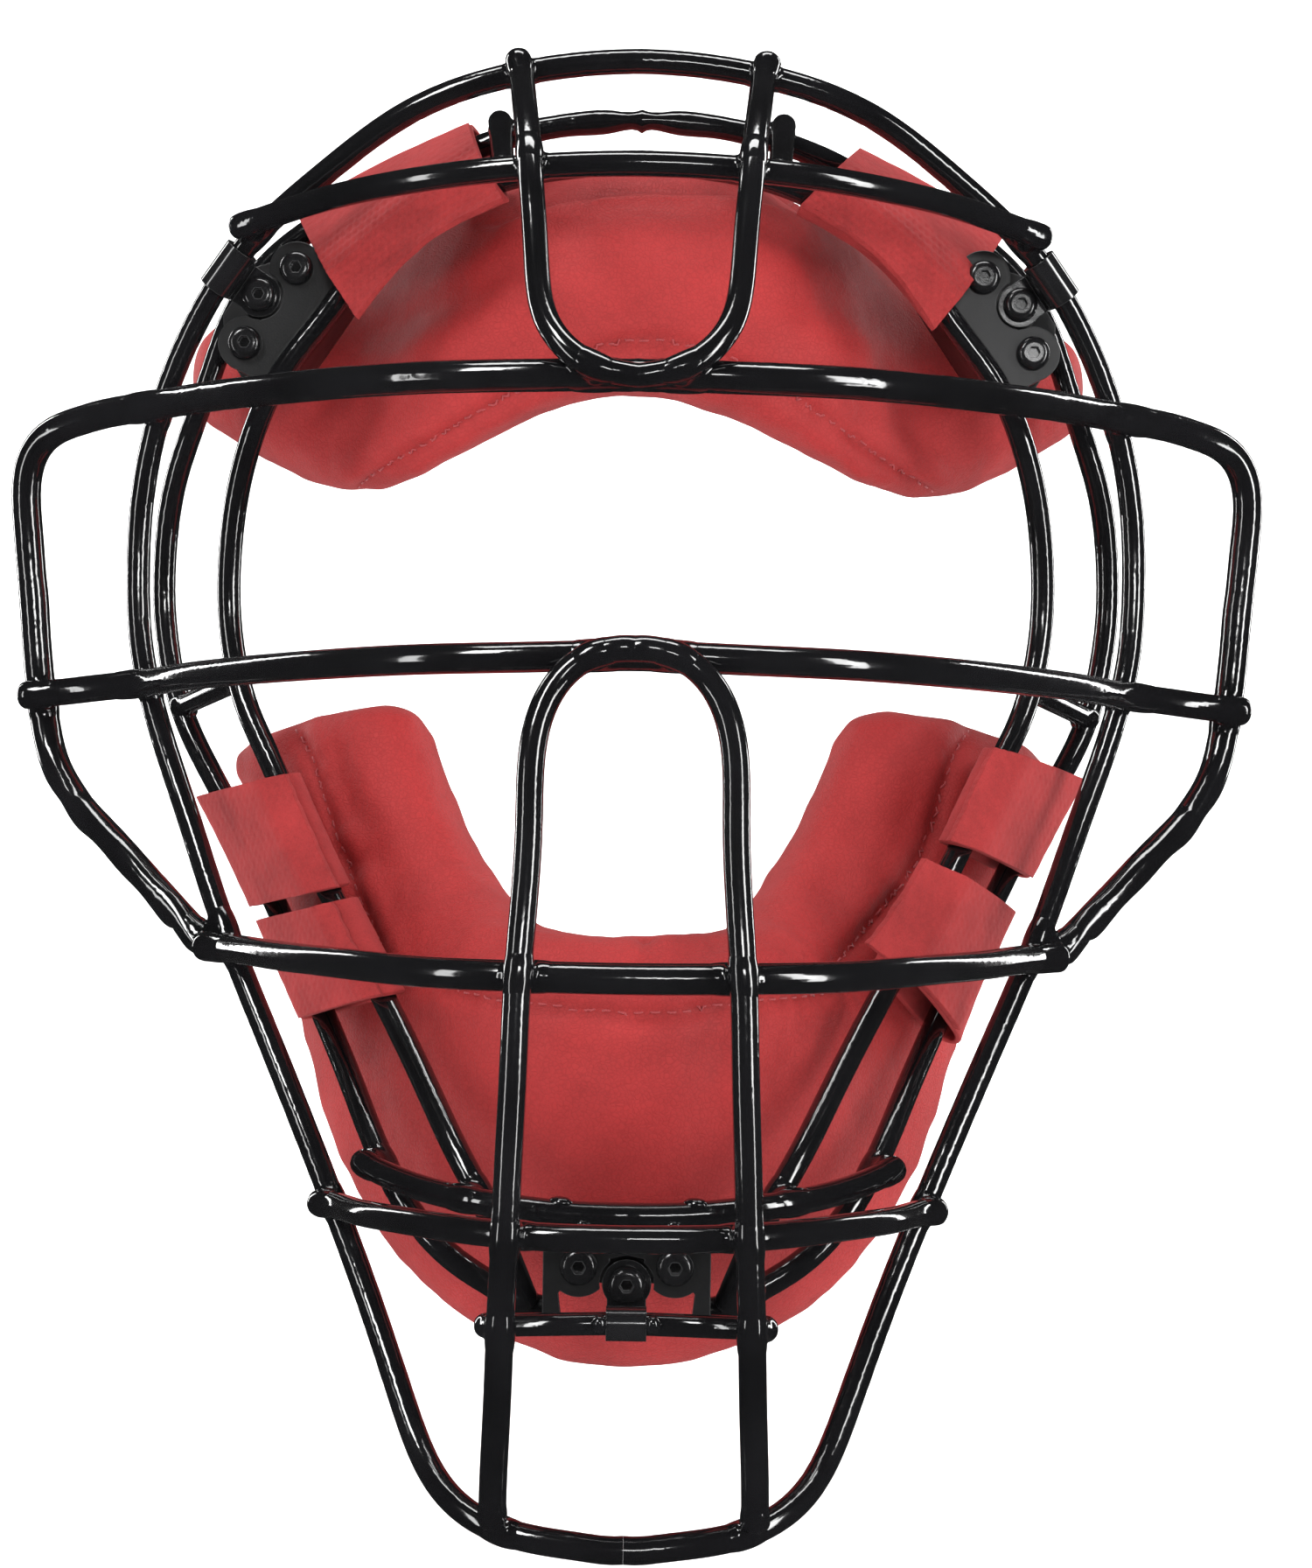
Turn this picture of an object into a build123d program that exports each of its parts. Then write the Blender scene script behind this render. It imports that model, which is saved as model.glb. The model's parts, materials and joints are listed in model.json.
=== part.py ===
from build123d import *

import os

# Two-stage wire face guard: an outer cage carried on three sprung isolators
# in front of a padded inner cage.
# Axes: +X to the viewer's right, +Y rearwards towards the wearer, +Z up.
# The pieces are drawn about a point on the symmetry plane, level with the
# lower edge of the eye opening.  On writing they all move together, so that
# the finished origin is the centre of the whole mask's box.  Millimetres.
os.makedirs("parts", exist_ok=True)

# ---------------------------------------------------------------- wire sizes
rim_d = 4.8  # rim, loops and upright wires
brow_d = 6.0  # brow bar and ear guards, one wire
bar_d = 5.5  # eye and cheek bars
mount_d = 4.0  # chin mount wire
butt_gap = 0.01      # half the gap where the rim hoop's ends meet at the bottom
strut_d = 4.4  # struts between the two loops

# ------------------------------------------------------------- isolator sizes
travel = 7.0  # rearward travel of the outer cage
sheet = 1.8  # bracket sheet thickness
float_t = 2.0  # float plate and lug tab thickness
float_gap = 0.2  # float plate to bracket front plate, at rest
shank_d = 3.5
head_d = 6.8
head_h = 2.2
nut_af = 6.4
nut_t = 2.8
spring_r = 2.9
spring_wire = 0.9
upper_front_y = -3.0  # front face of the upper bracket's front plate
upper_rear_y = 13.0  # front face of its rear plate
chin_front_y = -66.0
chin_rear_y = -50.2
guide_a = (69.4, 103.2)  # upper guide screws, X and Z
guide_b = (79.6, 88.0)
stud_upper = (76.9, 97.75)  # upper lug screw
guide_chin = (8.6, -86.0)
stud_chin = (0.0, -89.2)

# ------------------------------------------- wire centre lines, right halves
rim_half = [(0, -22, 140.8), (22.6, -21, 138.7), (44.3, -18.5, 132), (62.8, -13, 120.2), (78.2, -8.5, 107.2),
            (90.9, -3.5, 88.8), (98.1, 0, 70.4), (101.2, 2, 52.8), (101.5, 2, 42.1), (100.6, 1, 27.8),
            (96.5, -2, 11.7), (89.2, -8.5, -6.8), (80.6, -19, -26.8), (69, -31, -50.1), (57.7, -42, -72.8),
            (47.7, -52, -94.1), (39.9, -63, -111.3), (35, -70, -120.5), (29, -77, -125.9), (21.1, -82, -128.9),
            (10.5, -85, -130.3), (0, -86, -130.9)]
front_loop_half = [(0, -16, 122.5), (13.8, -15, 121.7), (27.8, -12.5, 119.4), (41.9, -9, 113.4),
                   (54.5, -5.8, 104.8), (63, -5.1, 93.8), (67.3, -5.1, 88.2), (71.5, -5.1, 82.4),
                   (76.5, -4.2, 72.5), (80.6, -1.8, 59.5), (82.6, 0.5, 45.5), (82.8, 1, 36.7), (81.6, 0, 26),
                   (78.5, -3, 15.2), (73.5, -8, 5.4), (62.7, -18, -15.3), (50.4, -30, -35.9), (37.7, -46, -56.7),
                   (30.3, -56, -69.1), (25.3, -59.6, -77.3), (21.4, -58.5, -86.2), (18.5, -55.7, -94.7)]
rear_loop_half = [(0, 5, 135.8), (16.2, 6, 135), (33.4, 8.5, 131.1), (50.9, 12, 123.9), (67.4, 15, 115.8),
                  (79.9, 16.7, 105.5), (85.6, 16.8, 96), (88.8, 17.2, 87.3), (93.3, 19, 74.7), (97.7, 22, 62.2),
                  (100.1, 25, 47.6), (100.3, 25.5, 38.3), (99, 24.5, 27.1), (95.8, 22, 15), (87.8, 15.5, 0.2),
                  (80.4, 9, -11.6), (64.8, -8, -39.2), (53.7, -27, -58.1), (45.8, -40, -72.3), (39.5, -46, -81.1),
                  (32.3, -49.5, -87.8), (24.1, -51.2, -92.8), (19, -51.3, -95.6), (14.7, -51.3, -96.8)]
brow_half = [(0, -62, 73.6), (19.2, -61, 73.4), (35.3, -57, 73.5), (52.1, -48.5, 73.7), (70.3, -34, 74.1),
             (86.6, -16.2, 74.9), (95.7, -7.3, 74.8), (103.6, -2.8, 74.2), (109.8, 1.1, 73.6), (115.5, 3.9, 72.3),
             (120.4, 6, 70.5), (124, 7.5, 67), (125.8, 8.4, 62.1), (126.1, 9, 56.7), (125.2, 9.5, 44.5),
             (124, 9.3, 31.8), (122.8, 8.7, 20), (121.6, 7.5, 13.3), (120.1, 6, 6.8), (117.1, 3, 0.5),
             (112.1, -1, -6), (105.7, -6, -11.6), (97.9, -11.5, -18.7), (90.3, -15.9, -25.9), (84, -19, -32)]
eye_half = [(0, -76, 22.4), (16.8, -75.2, 22), (35.9, -70.5, 21.6), (58.2, -56, 20.9), (78.3, -34, 20.2),
            (91.3, -16.6, 19.5), (99.1, -6.2, 18.9), (106.5, -1.6, 18.3), (114.1, 1.2, 17.5), (124.7, 2.9, 16.4)]
cheek_half = [(0, -88, -33.2), (18.2, -86.4, -33.1), (37.1, -78.5, -33), (53.2, -64.5, -32.6),
              (66.6, -46.5, -32.6), (74.8, -33.4, -32.5), (78.5, -27.8, -32.6), (83.3, -24.4, -32.5)]
chin_half = [(0, -92, -76.8), (15.4, -90.2, -76.8), (28.4, -83.5, -76.9), (40.1, -73.5, -77), (48.9, -61, -77.7),
             (53.9, -51.1, -78.2), (57.6, -48.2, -78.2)]
forehead_half = [(0, -45, 115.5), (18.8, -43.6, 115.1), (37, -38.8, 114.2), (51.4, -31.3, 113.4),
                 (66, -20.6, 112.2), (74.5, -14.9, 110.7), (80.3, -12.1, 109.4)]
crown_half = [(0, -67.3, 72.5), (7.3, -67, 74.1), (13.7, -65.4, 78.5), (17.1, -62.3, 84.3), (18.6, -58.2, 92.1),
              (19.5, -53.7, 102.7), (20.4, -49.9, 112.0), (21.2, -44.6, 120.0), (22.6, -33.6, 131.0),
              (23.5, -26.7, 136.9), (24.3, -24.9, 140.6)]
nose_half = [(0, -80.9, 23.3), (7.2, -80.8, 22.2), (12.1, -80.9, 18.8), (15.5, -82.1, 13.4), (17.7, -86.6, -6.7),
             (18.7, -90.4, -26.7), (19.2, -91.5, -35.3), (19.5, -92.7, -45.8), (20.2, -93.5, -65.1),
             (20.7, -93, -78.5), (21.2, -92.1, -90.5), (21.7, -90, -105.3), (22.3, -86.9, -118.3),
             (22.5, -85.6, -126.5)]
mount_half = [(0, -81, -93.2), (9.9, -81.9, -93.2), (18, -84.9, -92.8), (21.3, -87.3, -92.4), (24.5, -89, -92.2)]
inner_bar_half = [(0, -68.1, -76.7), (10.3, -67.9, -76.5), (23, -66.1, -75.4), (34.9, -58.3, -74.4),
                  (50.1, -41.9, -71.3)]


# ------------------------------- strap stations: loop centres under each strap
upper_strap_front = [(31.68, -11.62, 118.13), (44.42, -8.31, 112.04), (55.95, -5.56, 103.25)]
upper_strap_rear = [(33.35, 8.49, 131.12), (46.64, 11.13, 125.81), (59.66, 13.66, 119.91)]
upper_strap_dir = (0.875, 0.21, -0.437)
cheek_strap_left_front = [(-70.83, -10.57, 0.32), (-65.09, -15.89, -10.81), (-59.29, -21.14, -21.36)]
cheek_strap_left_rear = [(-86.05, 13.99, -2.59), (-79.07, 7.83, -13.82), (-72.78, 1.73, -24.88)]
cheek_strap_left_dir = (0.448, -0.412, -0.794)
cheek_strap_right_front = [(74.54, -7.03, 7.20), (69.55, -11.80, -2.15), (64.66, -16.26, -11.64)]
cheek_strap_right_rear = [(89.73, 17.10, 3.30), (83.35, 11.65, -6.80), (77.25, 6.12, -17.00)]
cheek_strap_right_dir = (-0.452, -0.409, -0.792)
jaw_strap_left_front = [(-58.10, -22.20, -23.30), (-52.74, -27.56, -32.12), (-47.23, -33.64, -41.04)]
jaw_strap_left_rear = [(-71.50, 0.30, -27.20), (-66.00, -6.35, -37.12), (-60.56, -14.62, -46.39)]
jaw_strap_left_dir = (0.433, -0.524, -0.733)
jaw_strap_right_front = [(61.80, -18.80, -17.00), (56.52, -23.77, -26.01), (51.08, -29.30, -34.75)]
jaw_strap_right_rear = [(73.20, 2.20, -24.10), (67.04, -4.97, -35.27), (60.75, -14.30, -46.05)]
jaw_strap_right_dir = (-0.435, -0.506, -0.745)
strap_t = 1.3

# -------------------------- pad sections, right halves, as (Y, Z) at given X
forehead_sections = [
    (0, [(-7, 81), (-11, 94), (-9, 111), (-2, 125), (11, 133.5), (22, 125), (24, 103), (17, 86), (6, 79)]),
    (25, [(-5, 75), (-9, 88), (-7, 105), (1, 118), (15, 126.5), (26, 119), (28, 99), (22, 81), (9, 73)]),
    (44, [(1, 67), (-3, 80), (-1, 92), (6, 103), (19, 114), (33, 110), (37, 91), (32, 74), (15, 65)]),
    (60, [(15, 65), (19.5, 75), (20.5, 85), (22, 95), (30, 107), (43, 106), (49, 89), (44, 71), (28, 62)]),
    (77, [(26, 70), (22.5, 76), (22.5, 85), (24.5, 94), (34, 105), (48, 104), (56.5, 90), (52, 75), (38, 67)]),
    (93, [(34, 79), (31, 83), (31, 88), (33, 93), (38, 97), (47, 96), (53, 89), (50, 81), (41, 77)]),
]
# chin pad stations: centre, width direction, run direction, width, thickness
chin_stations = [
    ((0, -31, -69.5), (0, -0.26, 0.966), (1, 0, 0), 81.5, 31),
    ((27, -23, -64), (-0.28, -0.3, 0.91), (0.85, 0.45, 0.25), 74, 29),
    ((43.8, -1.5, -40), (-0.72, -0.45, 0.52), (0.39, 0.53, 0.75), 53.5, 26),
    ((57.6, 15, -12), (-0.84, -0.5, 0.16), (0.28, 0.25, 0.93), 42.5, 23),
    ((66, 21, 12), (-0.86, -0.5, 0.02), (0.2, 0.1, 0.97), 38, 19),
]


def tip(points):
    """Direction of a wire at its free end."""
    return Vector(*points[-1]) - Vector(*points[-2])


def facing(y):
    """Plane at depth y whose normal points forwards; local x and y are X and Z."""
    return Plane.XZ.offset(-y)




def bracket_plane(y):
    """Plane at depth y centred between the upper guides, local x outwards, normal forwards."""
    ax, az = guide_a
    bx, bz = guide_b
    along = Vector(ax - bx, 0, az - bz).normalized()
    return Plane(origin=((ax + bx) / 2, y, (az + bz) / 2), x_dir=(along.Z, 0, -along.X), z_dir=(0, -1, 0))


def whole(half):
    """Left tip to right tip through the centre."""
    return [(-x, y, z) for x, y, z in reversed(half[1:])] + list(half)


def half_stations(line, butt=0.0):
    """Section planes along one half of a symmetric wire; the two halves meet on the symmetry plane.

    A hoop starts at its top centre and stops short of its bottom centre by the butt gap of its closing weld.
    """
    count = round(line.length / 14)
    result = []
    for k in range(count + 1):
        run = line % (k / count / 2)
        if k == count:
            run = Vector(-1, 0, 0) if butt else Vector(1, 0, 0)
        if k == 0 and butt:
            run = Vector(1, 0, 0)
        at = min(k / count / 2, 0.5 - butt / line.length)
        result.append(Plane(origin=line @ at, x_dir=Vector(0, 1, 0).cross(run), z_dir=run))
    return result


def strap_plane(front, rear, direction):
    """Section plane of a strap: local x runs from the front loop to the rear loop."""
    across = Vector(*rear) - Vector(*front)
    run = Vector(*direction)
    run = (run - across * (run.dot(across) / across.dot(across))).normalized()
    return Plane(origin=front, x_dir=across, z_dir=run)


# ============================================================== outer cage
with BuildPart() as rim_wire:
    with BuildLine() as rim_line:
        Spline(*rim_half, *[(-x, y, z) for x, y, z in reversed(rim_half[1:-1])], periodic=True)
    for plane in half_stations(rim_line.edges()[0], butt_gap):
        with BuildSketch(plane):
            Circle(rim_d / 2)
    loft()
    mirror(about=Plane.YZ)
rim_wire.part.label = "outer_rim_wire"

with BuildPart() as brow_wire:
    with BuildLine() as brow_line:
        Spline(*whole(brow_half))
    for plane in half_stations(brow_line.edges()[0]):
        with BuildSketch(plane):
            Circle(brow_d / 2)
    loft()
    mirror(about=Plane.YZ)
brow_wire.part.label = "brow_and_ear_guard_wire"

with BuildPart() as eye_bar:
    with BuildLine() as eye_line:
        Spline(*whole(eye_half))
    for plane in half_stations(eye_line.edges()[0]):
        with BuildSketch(plane):
            Circle(bar_d / 2)
    loft()
    mirror(about=Plane.YZ)
eye_bar.part.label = "eye_bar"

with BuildPart() as cheek_bar:
    with BuildLine() as cheek_line:
        Spline(*whole(cheek_half))
    for plane in half_stations(cheek_line.edges()[0]):
        with BuildSketch(plane):
            Circle(bar_d / 2)
    loft()
    mirror(about=Plane.YZ)
cheek_bar.part.label = "cheek_bar"

with BuildPart() as chin_bar:
    with BuildLine() as chin_line:
        Spline(*whole(chin_half))
    for plane in half_stations(chin_line.edges()[0]):
        with BuildSketch(plane):
            Circle(rim_d / 2)
    loft()
    mirror(about=Plane.YZ)
chin_bar.part.label = "outer_chin_bar"

with BuildPart() as forehead_bar:
    with BuildLine() as forehead_line:
        Spline(*whole(forehead_half))
    for plane in half_stations(forehead_line.edges()[0]):
        with BuildSketch(plane):
            Circle(rim_d / 2)
    loft()
    mirror(about=Plane.YZ)
forehead_bar.part.label = "forehead_bar"

with BuildPart() as crown_wire:
    with BuildLine() as crown_line:
        Spline(*whole(crown_half))
    for plane in half_stations(crown_line.edges()[0]):
        with BuildSketch(plane):
            Circle(rim_d / 2)
    loft()
    mirror(about=Plane.YZ)
crown_wire.part.label = "crown_u_wire"

with BuildPart() as nose_wire:
    with BuildLine() as nose_line:
        Spline(*whole(nose_half))
    for plane in half_stations(nose_line.edges()[0]):
        with BuildSketch(plane):
            Circle(rim_d / 2)
    loft()
    mirror(about=Plane.YZ)
nose_wire.part.label = "nose_u_wire"

with BuildPart() as mount_wire:
    with BuildLine() as mount_line:
        Spline(*whole(mount_half))
    for plane in half_stations(mount_line.edges()[0]):
        with BuildSketch(plane):
            Circle(mount_d / 2)
    loft()
    mirror(about=Plane.YZ)
mount_wire.part.label = "chin_mount_wire"

# ============================================================== inner cage
with BuildPart() as front_loop:
    with BuildLine() as front_loop_line:
        Spline(*whole(front_loop_half))
    for plane in half_stations(front_loop_line.edges()[0]):
        with BuildSketch(plane):
            Circle(rim_d / 2)
    loft()
    mirror(about=Plane.YZ)
front_loop.part.label = "inner_front_loop"

with BuildPart() as rear_loop:
    with BuildLine() as rear_loop_line:
        Spline(*whole(rear_loop_half))
    for plane in half_stations(rear_loop_line.edges()[0]):
        with BuildSketch(plane):
            Circle(rim_d / 2)
    loft()
    mirror(about=Plane.YZ)
rear_loop.part.label = "inner_rear_loop"

with BuildPart() as inner_bar:
    with BuildLine() as inner_bar_line:
        Spline(*whole(inner_bar_half))
    for plane in half_stations(inner_bar_line.edges()[0]):
        with BuildSketch(plane):
            Circle(rim_d / 2)
    loft()
    mirror(about=Plane.YZ)
inner_bar.part.label = "inner_chin_bar"

with BuildPart() as side_strut_right:
    with BuildLine() as side_strut_line:
        Line((81.26, 0.27, 19.62), (94.77, 20.41, 15.51))
    with BuildSketch(Plane(origin=side_strut_line.line @ 0, z_dir=side_strut_line.line % 0)):
        Circle(strut_d / 2)
    sweep()
side_strut_right.part.label = "side_strut_right"

with BuildPart() as side_strut_left:
    mirror(side_strut_right.part, about=Plane.YZ)
side_strut_left.part.label = "side_strut_left"

with BuildPart() as top_hook_right:
    with BuildLine() as top_hook_line:
        Line((29.1, 4.5, 135.4), (27.7, -9.7, 122.9))
    with BuildSketch(Plane(origin=top_hook_line.line @ 0, z_dir=top_hook_line.line % 0)):
        Circle(rim_d / 2)
    sweep()
top_hook_right.part.label = "top_hook_right"

with BuildPart() as top_hook_left:
    mirror(top_hook_right.part, about=Plane.YZ)
top_hook_left.part.label = "top_hook_left"

# ====================================================== isolator brackets
# Upper bracket: kidney front plate, side web and rear plate bent from one sheet.
with BuildPart() as bracket_right:
    with BuildSketch(bracket_plane(upper_front_y + sheet)):
        with BuildLine():
            Polyline((-11.8, -12), (-11.8, 12), (-6, 14.0), (0, 14.6), (0, -14.6), (-6, -14.0), close=True)
        make_face()
        with Locations((0, 9.15), (0, -9.15)):
            Circle(5.5)
        with Locations((3.2, 0.45)):
            Circle(4.9, mode=Mode.SUBTRACT)
        with Locations((0, 9.15), (0, -9.15)):
            Circle(1.85, mode=Mode.SUBTRACT)
    extrude(amount=sheet)
    with BuildSketch(bracket_plane(upper_rear_y + sheet)):
        with BuildLine():
            Polyline((-11.8, -12), (-11.8, 12), (0, 14.6), (6, 12), (10.6, 6), (10.6, -6), (6, -12), (0, -14.6), close=True)
        make_face()
        with Locations((0, 9.15), (0, -9.15)):
            Circle(1.85, mode=Mode.SUBTRACT)
    extrude(amount=sheet)
    with BuildSketch(bracket_plane(upper_rear_y + sheet)):
        with Locations((-10.9, 0)):
            Rectangle(sheet, 24)
    extrude(amount=upper_rear_y + sheet - upper_front_y)
bracket_right.part.label = "isolator_bracket_right"

with BuildPart() as bracket_left:
    mirror(bracket_right.part, about=Plane.YZ)
bracket_left.part.label = "isolator_bracket_left"

# Chin bracket: two-lobed front plate with legs, side webs and rear plate.
with BuildPart() as bracket_chin:
    with BuildSketch(facing(chin_front_y + sheet)):
        with BuildLine():
            Polyline((-15, -96), (-15, -81.5), (-13.7, -80), (-13.7, -76.6), (-9.3, -76.6), (-9.3, -81), (-5, -81),
                     (-5, -79.2), (5, -79.2), (5, -81), (9.3, -81), (9.3, -76.6), (13.7, -76.6), (13.7, -80),
                     (15, -81.5), (15, -96), (11.6, -96), (12.2, -91), (8.6, -86), (0, -84), (-8.6, -86),
                     (-12.2, -91), (-11.6, -96), close=True)
        make_face()
        with Locations((-8.6, -86), (8.6, -86)):
            Circle(5.6)
        with Locations(stud_chin):
            Circle(4.9, mode=Mode.SUBTRACT)
        with Locations((-8.6, -86), (8.6, -86)):
            Circle(1.85, mode=Mode.SUBTRACT)
    extrude(amount=sheet)
    with BuildSketch(facing(chin_rear_y + sheet)):
        with BuildLine():
            Polyline((-15, -94.5), (-15, -81.5), (15, -81.5), (15, -94.5), (9, -92), (-9, -92), close=True)
        make_face()
        with Locations((-8.6, -86), (8.6, -86)):
            Circle(1.85, mode=Mode.SUBTRACT)
    extrude(amount=sheet)
    with BuildSketch(Plane.YZ.offset(15)):
        with BuildLine():
            Polyline((chin_front_y, -81.5), (chin_rear_y + sheet, -81.5), (chin_rear_y + sheet, -99), (-53, -99.3),
                     (-60, -96), (chin_front_y, -96), close=True)
        make_face()
    extrude(amount=-sheet)
    with BuildSketch(Plane.YZ.offset(-15)):
        with BuildLine():
            Polyline((chin_front_y, -81.5), (chin_rear_y + sheet, -81.5), (chin_rear_y + sheet, -99), (-53, -99.3),
                     (-60, -96), (chin_front_y, -96), close=True)
        make_face()
    extrude(amount=sheet)
bracket_chin.part.label = "isolator_bracket_chin"

# ================================================================ float plates
with BuildPart() as float_right:
    with BuildSketch(bracket_plane(upper_front_y + sheet + float_gap + float_t)):
        with BuildLine():
            Polyline((-4.2, 9.15), (-4.2, -9.15), (3.4, -4), (3.4, 4), close=True)
        make_face()
        with Locations((0, 9.15), (0, -9.15)):
            Circle(4.6)
        with Locations((3.2, 0.45)):
            Circle(4.4)
        with Locations((0, 9.15), (0, -9.15)):
            Circle(2.15, mode=Mode.SUBTRACT)
        with Locations((3.2, 0.45)):
            Circle(1.8, mode=Mode.SUBTRACT)
    extrude(amount=float_t)
float_right.part.label = "float_plate_right"

with BuildPart() as float_left:
    mirror(float_right.part, about=Plane.YZ)
float_left.part.label = "float_plate_left"

with BuildPart() as float_chin:
    with BuildSketch(facing(chin_front_y + sheet + float_gap + float_t)):
        with BuildLine():
            Polyline((-8.6, -82.2), (8.6, -82.2), (4, -90), (-4, -90), close=True)
        make_face()
        with Locations((-8.6, -86), (8.6, -86)):
            Circle(4.2)
        with Locations(stud_chin):
            Circle(4.4)
        with Locations((-8.6, -86), (8.6, -86)):
            Circle(2.15, mode=Mode.SUBTRACT)
        with Locations(stud_chin):
            Circle(1.8, mode=Mode.SUBTRACT)
    extrude(amount=float_t)
float_chin.part.label = "float_plate_chin"

# ====================================================================== lugs
# Upper lug: a strip wrapped round the rim wire, ending in a round tab.
sleeve_mid = Vector(82.57, -6.98, 102.09)
sleeve_run = Vector(0.597, 0.223, -0.771)
with BuildPart() as lug_right:
    with BuildSketch(bracket_plane(upper_front_y + sheet + float_gap)):
        with Locations((3.2, 0.45)):
            Circle(4.4)
        with Locations((6.7, 0.6)):
            Rectangle(7.0, 8.4)
    extrude(amount=float_t)
    with BuildSketch(bracket_plane(upper_front_y + sheet + float_gap)):
        with Locations((8.7, 0.7)):
            Rectangle(3.2, 8.4)
        with Locations((3.2, 0.45)):
            Circle(3.65, mode=Mode.SUBTRACT)
    extrude(amount=5.0)
    with BuildSketch(Plane(origin=sleeve_mid - sleeve_run * 4.8, z_dir=sleeve_run)):
        Circle(3.4)
    extrude(amount=9.6)
    with BuildSketch(Plane(origin=sleeve_mid - sleeve_run * 12, z_dir=sleeve_run)):
        Circle(2.38)
    extrude(amount=24, mode=Mode.SUBTRACT)
    with BuildSketch(bracket_plane(upper_front_y + sheet + float_gap)):
        with Locations((3.2, 0.45)):
            Circle(1.8)
    extrude(amount=float_t, mode=Mode.SUBTRACT)
lug_right.part.label = "lug_right"

with BuildPart() as lug_left:
    mirror(lug_right.part, about=Plane.YZ)
lug_left.part.label = "lug_left"

with BuildPart() as lug_chin:
    with BuildSketch(facing(chin_front_y + sheet + float_gap)):
        with Locations(stud_chin):
            Circle(4.4)
        with Locations((0, -93)):
            Rectangle(7.0, 6.4)
        with Locations(stud_chin):
            Circle(1.8, mode=Mode.SUBTRACT)
    extrude(amount=float_t)
    with BuildSketch(Plane.YZ.offset(-3.5)):
        with BuildLine():
            Polyline((chin_front_y + sheet + float_gap, -94.8), (-81, -94.8), (-81, -96.2),
                     (chin_front_y + sheet + float_gap, -96.2), close=True)
        make_face()
        with Locations((-81, -93.2)):
            Circle(3.0)
            Circle(1.98, mode=Mode.SUBTRACT)
    extrude(amount=7.0)
lug_chin.part.label = "lug_chin"

# ================================================================= fasteners
guide_length = upper_rear_y + sheet + 0.6 + nut_t + 0.9 - upper_front_y
with BuildPart() as guide_screw_master:
    with BuildSketch():
        Circle(shank_d / 2)
    extrude(amount=-guide_length)
    with BuildSketch():
        Circle(head_d / 2)
    extrude(amount=head_h)
    fillet(guide_screw_master.faces().sort_by(Axis.Z)[-1].edges(), 1.5)
    with BuildSketch(Plane.XY.offset(head_h)):
        RegularPolygon(1.25, 6)
    extrude(amount=-1.3, mode=Mode.SUBTRACT)

with BuildPart() as lug_screw_master:
    with BuildSketch():
        Circle(shank_d / 2)
    extrude(amount=-(2 * float_t + nut_t + 0.7))
    with BuildSketch():
        Circle(head_d / 2)
    extrude(amount=head_h)
    fillet(lug_screw_master.faces().sort_by(Axis.Z)[-1].edges(), 1.5)
    with BuildSketch(Plane.XY.offset(head_h)):
        RegularPolygon(1.25, 6)
    extrude(amount=-1.3, mode=Mode.SUBTRACT)

with BuildPart() as nut_master:
    with BuildSketch():
        RegularPolygon(nut_af / 2, 6, major_radius=False)
        Circle(shank_d / 2 + 0.02, mode=Mode.SUBTRACT)
    extrude(amount=-nut_t * 0.72)
    with BuildSketch():
        Circle(nut_af / 2 - 0.2)
        Circle(shank_d / 2 + 0.02, mode=Mode.SUBTRACT)
    extrude(amount=-nut_t)

with BuildPart() as washer_master:
    with BuildSketch():
        Circle(3.8)
        Circle(shank_d / 2 + 0.1, mode=Mode.SUBTRACT)
    extrude(amount=-0.6)

spring_length_upper = upper_rear_y - (upper_front_y + sheet + float_gap + float_t)
spring_length_chin = chin_rear_y - (chin_front_y + sheet + float_gap + float_t)
with BuildPart() as spring_upper_master:
    with BuildLine() as coil_upper:
        Helix(pitch=(spring_length_upper - spring_wire - 0.1) / 5, height=spring_length_upper - spring_wire - 0.1, radius=spring_r)
    with BuildSketch(Plane(origin=coil_upper.line @ 0, z_dir=coil_upper.line % 0)):
        Circle(spring_wire / 2)
    sweep(is_frenet=True)

with BuildPart() as spring_chin_master:
    with BuildLine() as coil_chin:
        Helix(pitch=(spring_length_chin - spring_wire - 0.1) / 5, height=spring_length_chin - spring_wire - 0.1, radius=spring_r)
    with BuildSketch(Plane(origin=coil_chin.line @ 0, z_dir=coil_chin.line % 0)):
        Circle(spring_wire / 2)
    sweep(is_frenet=True)

guides_upper = [guide_a, guide_b]
guides_all = [(sx * x, z, upper_front_y, upper_rear_y) for sx in (-1, 1) for x, z in guides_upper]
guides_all += [(sx * guide_chin[0], guide_chin[1], chin_front_y, chin_rear_y) for sx in (-1, 1)]

with BuildPart() as guide_screws:
    for gx, gz, gy, ry in guides_all:
        with Locations(Plane(origin=(gx, gy, gz), x_dir=(1, 0, 0), z_dir=(0, -1, 0)).location):
            add(guide_screw_master.part)
guide_screws.part.label = "guide_screws"

with BuildPart() as guide_washers:
    for gx, gz, gy, ry in guides_all:
        with Locations(Plane(origin=(gx, ry + sheet, gz), x_dir=(1, 0, 0), z_dir=(0, -1, 0)).location):
            add(washer_master.part)
guide_washers.part.label = "guide_washers"

with BuildPart() as guide_nuts:
    for gx, gz, gy, ry in guides_all:
        with Locations(Plane(origin=(gx, ry + sheet + 0.6, gz), x_dir=(1, 0, 0), z_dir=(0, -1, 0)).location):
            add(nut_master.part)
guide_nuts.part.label = "guide_lock_nuts"

studs_all = [(-stud_upper[0], stud_upper[1], upper_front_y), (stud_upper[0], stud_upper[1], upper_front_y),
             (stud_chin[0], stud_chin[1], chin_front_y)]
with BuildPart() as lug_screws:
    for gx, gz, gy in studs_all:
        with Locations(Plane(origin=(gx, gy + sheet + float_gap - float_t, gz), x_dir=(1, 0, 0), z_dir=(0, -1, 0)).location):
            add(lug_screw_master.part)
lug_screws.part.label = "lug_screws"

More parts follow.
